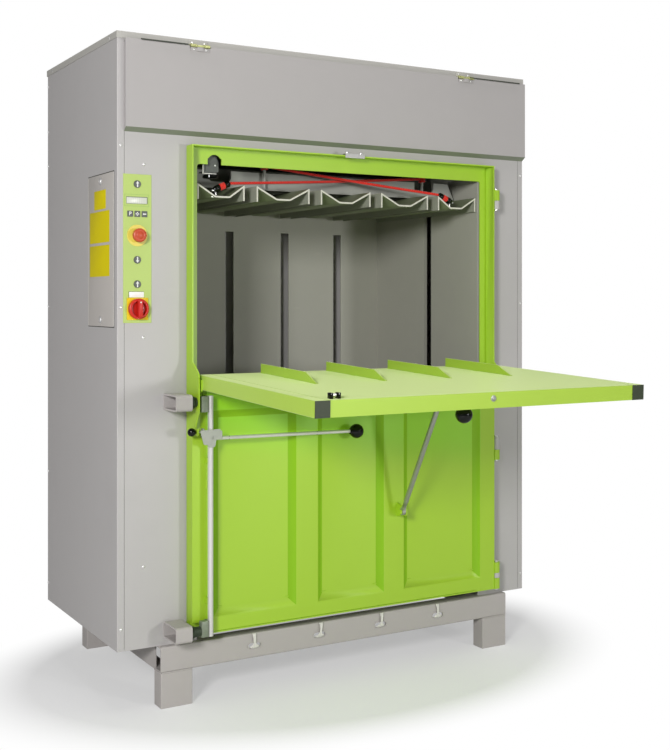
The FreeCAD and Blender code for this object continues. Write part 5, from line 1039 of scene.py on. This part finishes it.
plaque(switch_base, (COLUMN - 32.5, -5.5, SWITCH_Z - 32.5), (COLUMN + 32.5, -1.4, SWITCH_Z + 32.5),
       1, 3, 0.7)
piece("stop_collar", collar, COLLAR, "casing")
piece("switch_plate", switch_base, YELLOW, "casing")
MUSHROOM = [(0, -14), (11, -14), (11, 8), (14, 10), (19.2, 11.4), (20.3, 13), (20.3, 20),
            (19.4, 23), (17, 24.6), (13, 25.2), (11.4, 24.9), (10.6, 24.3), (9.6, 25), (0, 25.6)]
turned(mushroom, MUSHROOM, (COLUMN, -3.5, STOP_Z), TO_FRONT, 48)
piece("stop_mushroom", mushroom, STOP_RED, "stop_button", "stop_button")
ROTOR = [(0, -14), (4, -14), (4, 0.2), (29.4, 0.2), (30.3, 1), (30.3, 11), (29.4, 13.8),
         (27, 15.2), (23.6, 15.2), (22.4, 13.8), (21.6, 6.4), (20.6, 5.6), (0, 5.4)]
turned(rotor, ROTOR, (COLUMN, -5.7, SWITCH_Z), TO_FRONT, 56)
plaque(rotor, (COLUMN - 7, -32.4, SWITCH_Z - 24.5), (COLUMN + 7, -17.6, SWITCH_Z + 24.5), 1,
       4.5, 1.4)
for place in ((COLUMN, -32.3, 1194), (-676, -18.2, 1177)):
    turned(dots, [(0, 0.5), (2, 0.4), (2.4, 0), (0, 0)], place, TO_FRONT, 20)
piece("switch_rotor", rotor, SWITCH_RED, "main_switch", "main_switch")
piece("switch_dots", dots, WHITE_MARK, "main_switch")

# ----- Floor, light and background -----
# A pale floor that keeps the machine's shadow and fades to white away from it, a large
# soft box on the left, a small one on the right, a low one overhead and a white room.
disc = bmesh.new()
bmesh.ops.create_circle(disc, cap_ends=True, segments=96, radius=30)
mesh = bpy.data.meshes.new("floor")
disc.to_mesh(mesh)
disc.free()
ground = bpy.data.objects.new("floor", mesh)
bpy.context.scene.collection.objects.link(ground)
pale = Finish("pale_floor", Roughness=0.7, Specular_IOR_Level=0.2, Base_Color=(0.86, 0.86, 0.86))
oval = pale.stretched((1 / 1.15, 1 / 0.8, 1), centre=(0, -0.35, 0))
away = pale.node("ShaderNodeVectorMath", {"operation": "LENGTH"}, {0: oval}, "Value")
ray = pale.node("ShaderNodeLightPath", {}, {}, "Is Camera Ray")
white = pale.node("ShaderNodeEmission", {}, {"Color": (1, 1, 1), "Strength": 1.0})
faded = away.between(0.6, 1.05).larger(0.4) * ray
blend = pale.node("ShaderNodeMixShader", {},
                  {0: faded, 1: Shade(pale, pale.shader.outputs[0]), 2: white})
pale.join(pale.tree.nodes["Material Output"].inputs["Surface"], blend)
mesh.materials.append(pale.material)


class Room(Finish):
    """The white room round the machine, made with the same nodes as a finish."""

    def __init__(self, name):
        world = bpy.data.worlds.new(name)
        world.use_nodes = True
        bpy.context.scene.world = world
        self.tree = world.node_tree


ROOM_LIGHT, ROOM_SEEN = 0.20, 1.0
room = Room("room")
seen, through = (room.node("ShaderNodeLightPath", {}, {}, "Is %s Ray" % way)
                 for way in ("Camera", "Transmission"))
level = room.node("ShaderNodeMapRange", {}, {"Value": seen.larger(through),
                                             "To Min": ROOM_LIGHT, "To Max": ROOM_SEEN})
backdrop = room.tree.nodes["Background"].inputs
room.join(backdrop["Color"], (1, 1, 1))
room.join(backdrop["Strength"], level)


def soft_box(name, place, target, wide, tall, power):
    light = bpy.data.lights.new(name, "AREA")
    light.shape = "RECTANGLE"
    light.size, light.size_y = wide, tall
    light.energy = power
    lamp = bpy.data.objects.new(name, light)
    bpy.context.scene.collection.objects.link(lamp)
    lamp.location = place
    lamp.rotation_euler = (Vector(target) - Vector(place)).to_track_quat("-Z", "Y").to_euler()


soft_box("key_box", (-3.5, -3.4, 2.15), (-0.2, 0, 1.0), 0.8, 0.8, 158)
soft_box("right_box", (1.5, -4.6, 1.3), (0.0, 0, 1.0), 0.45, 0.45, 51)
soft_box("top_box", (0.2, -0.3, 4.2), (0.2, -0.3, 0.9), 2.6, 1.6, 40)
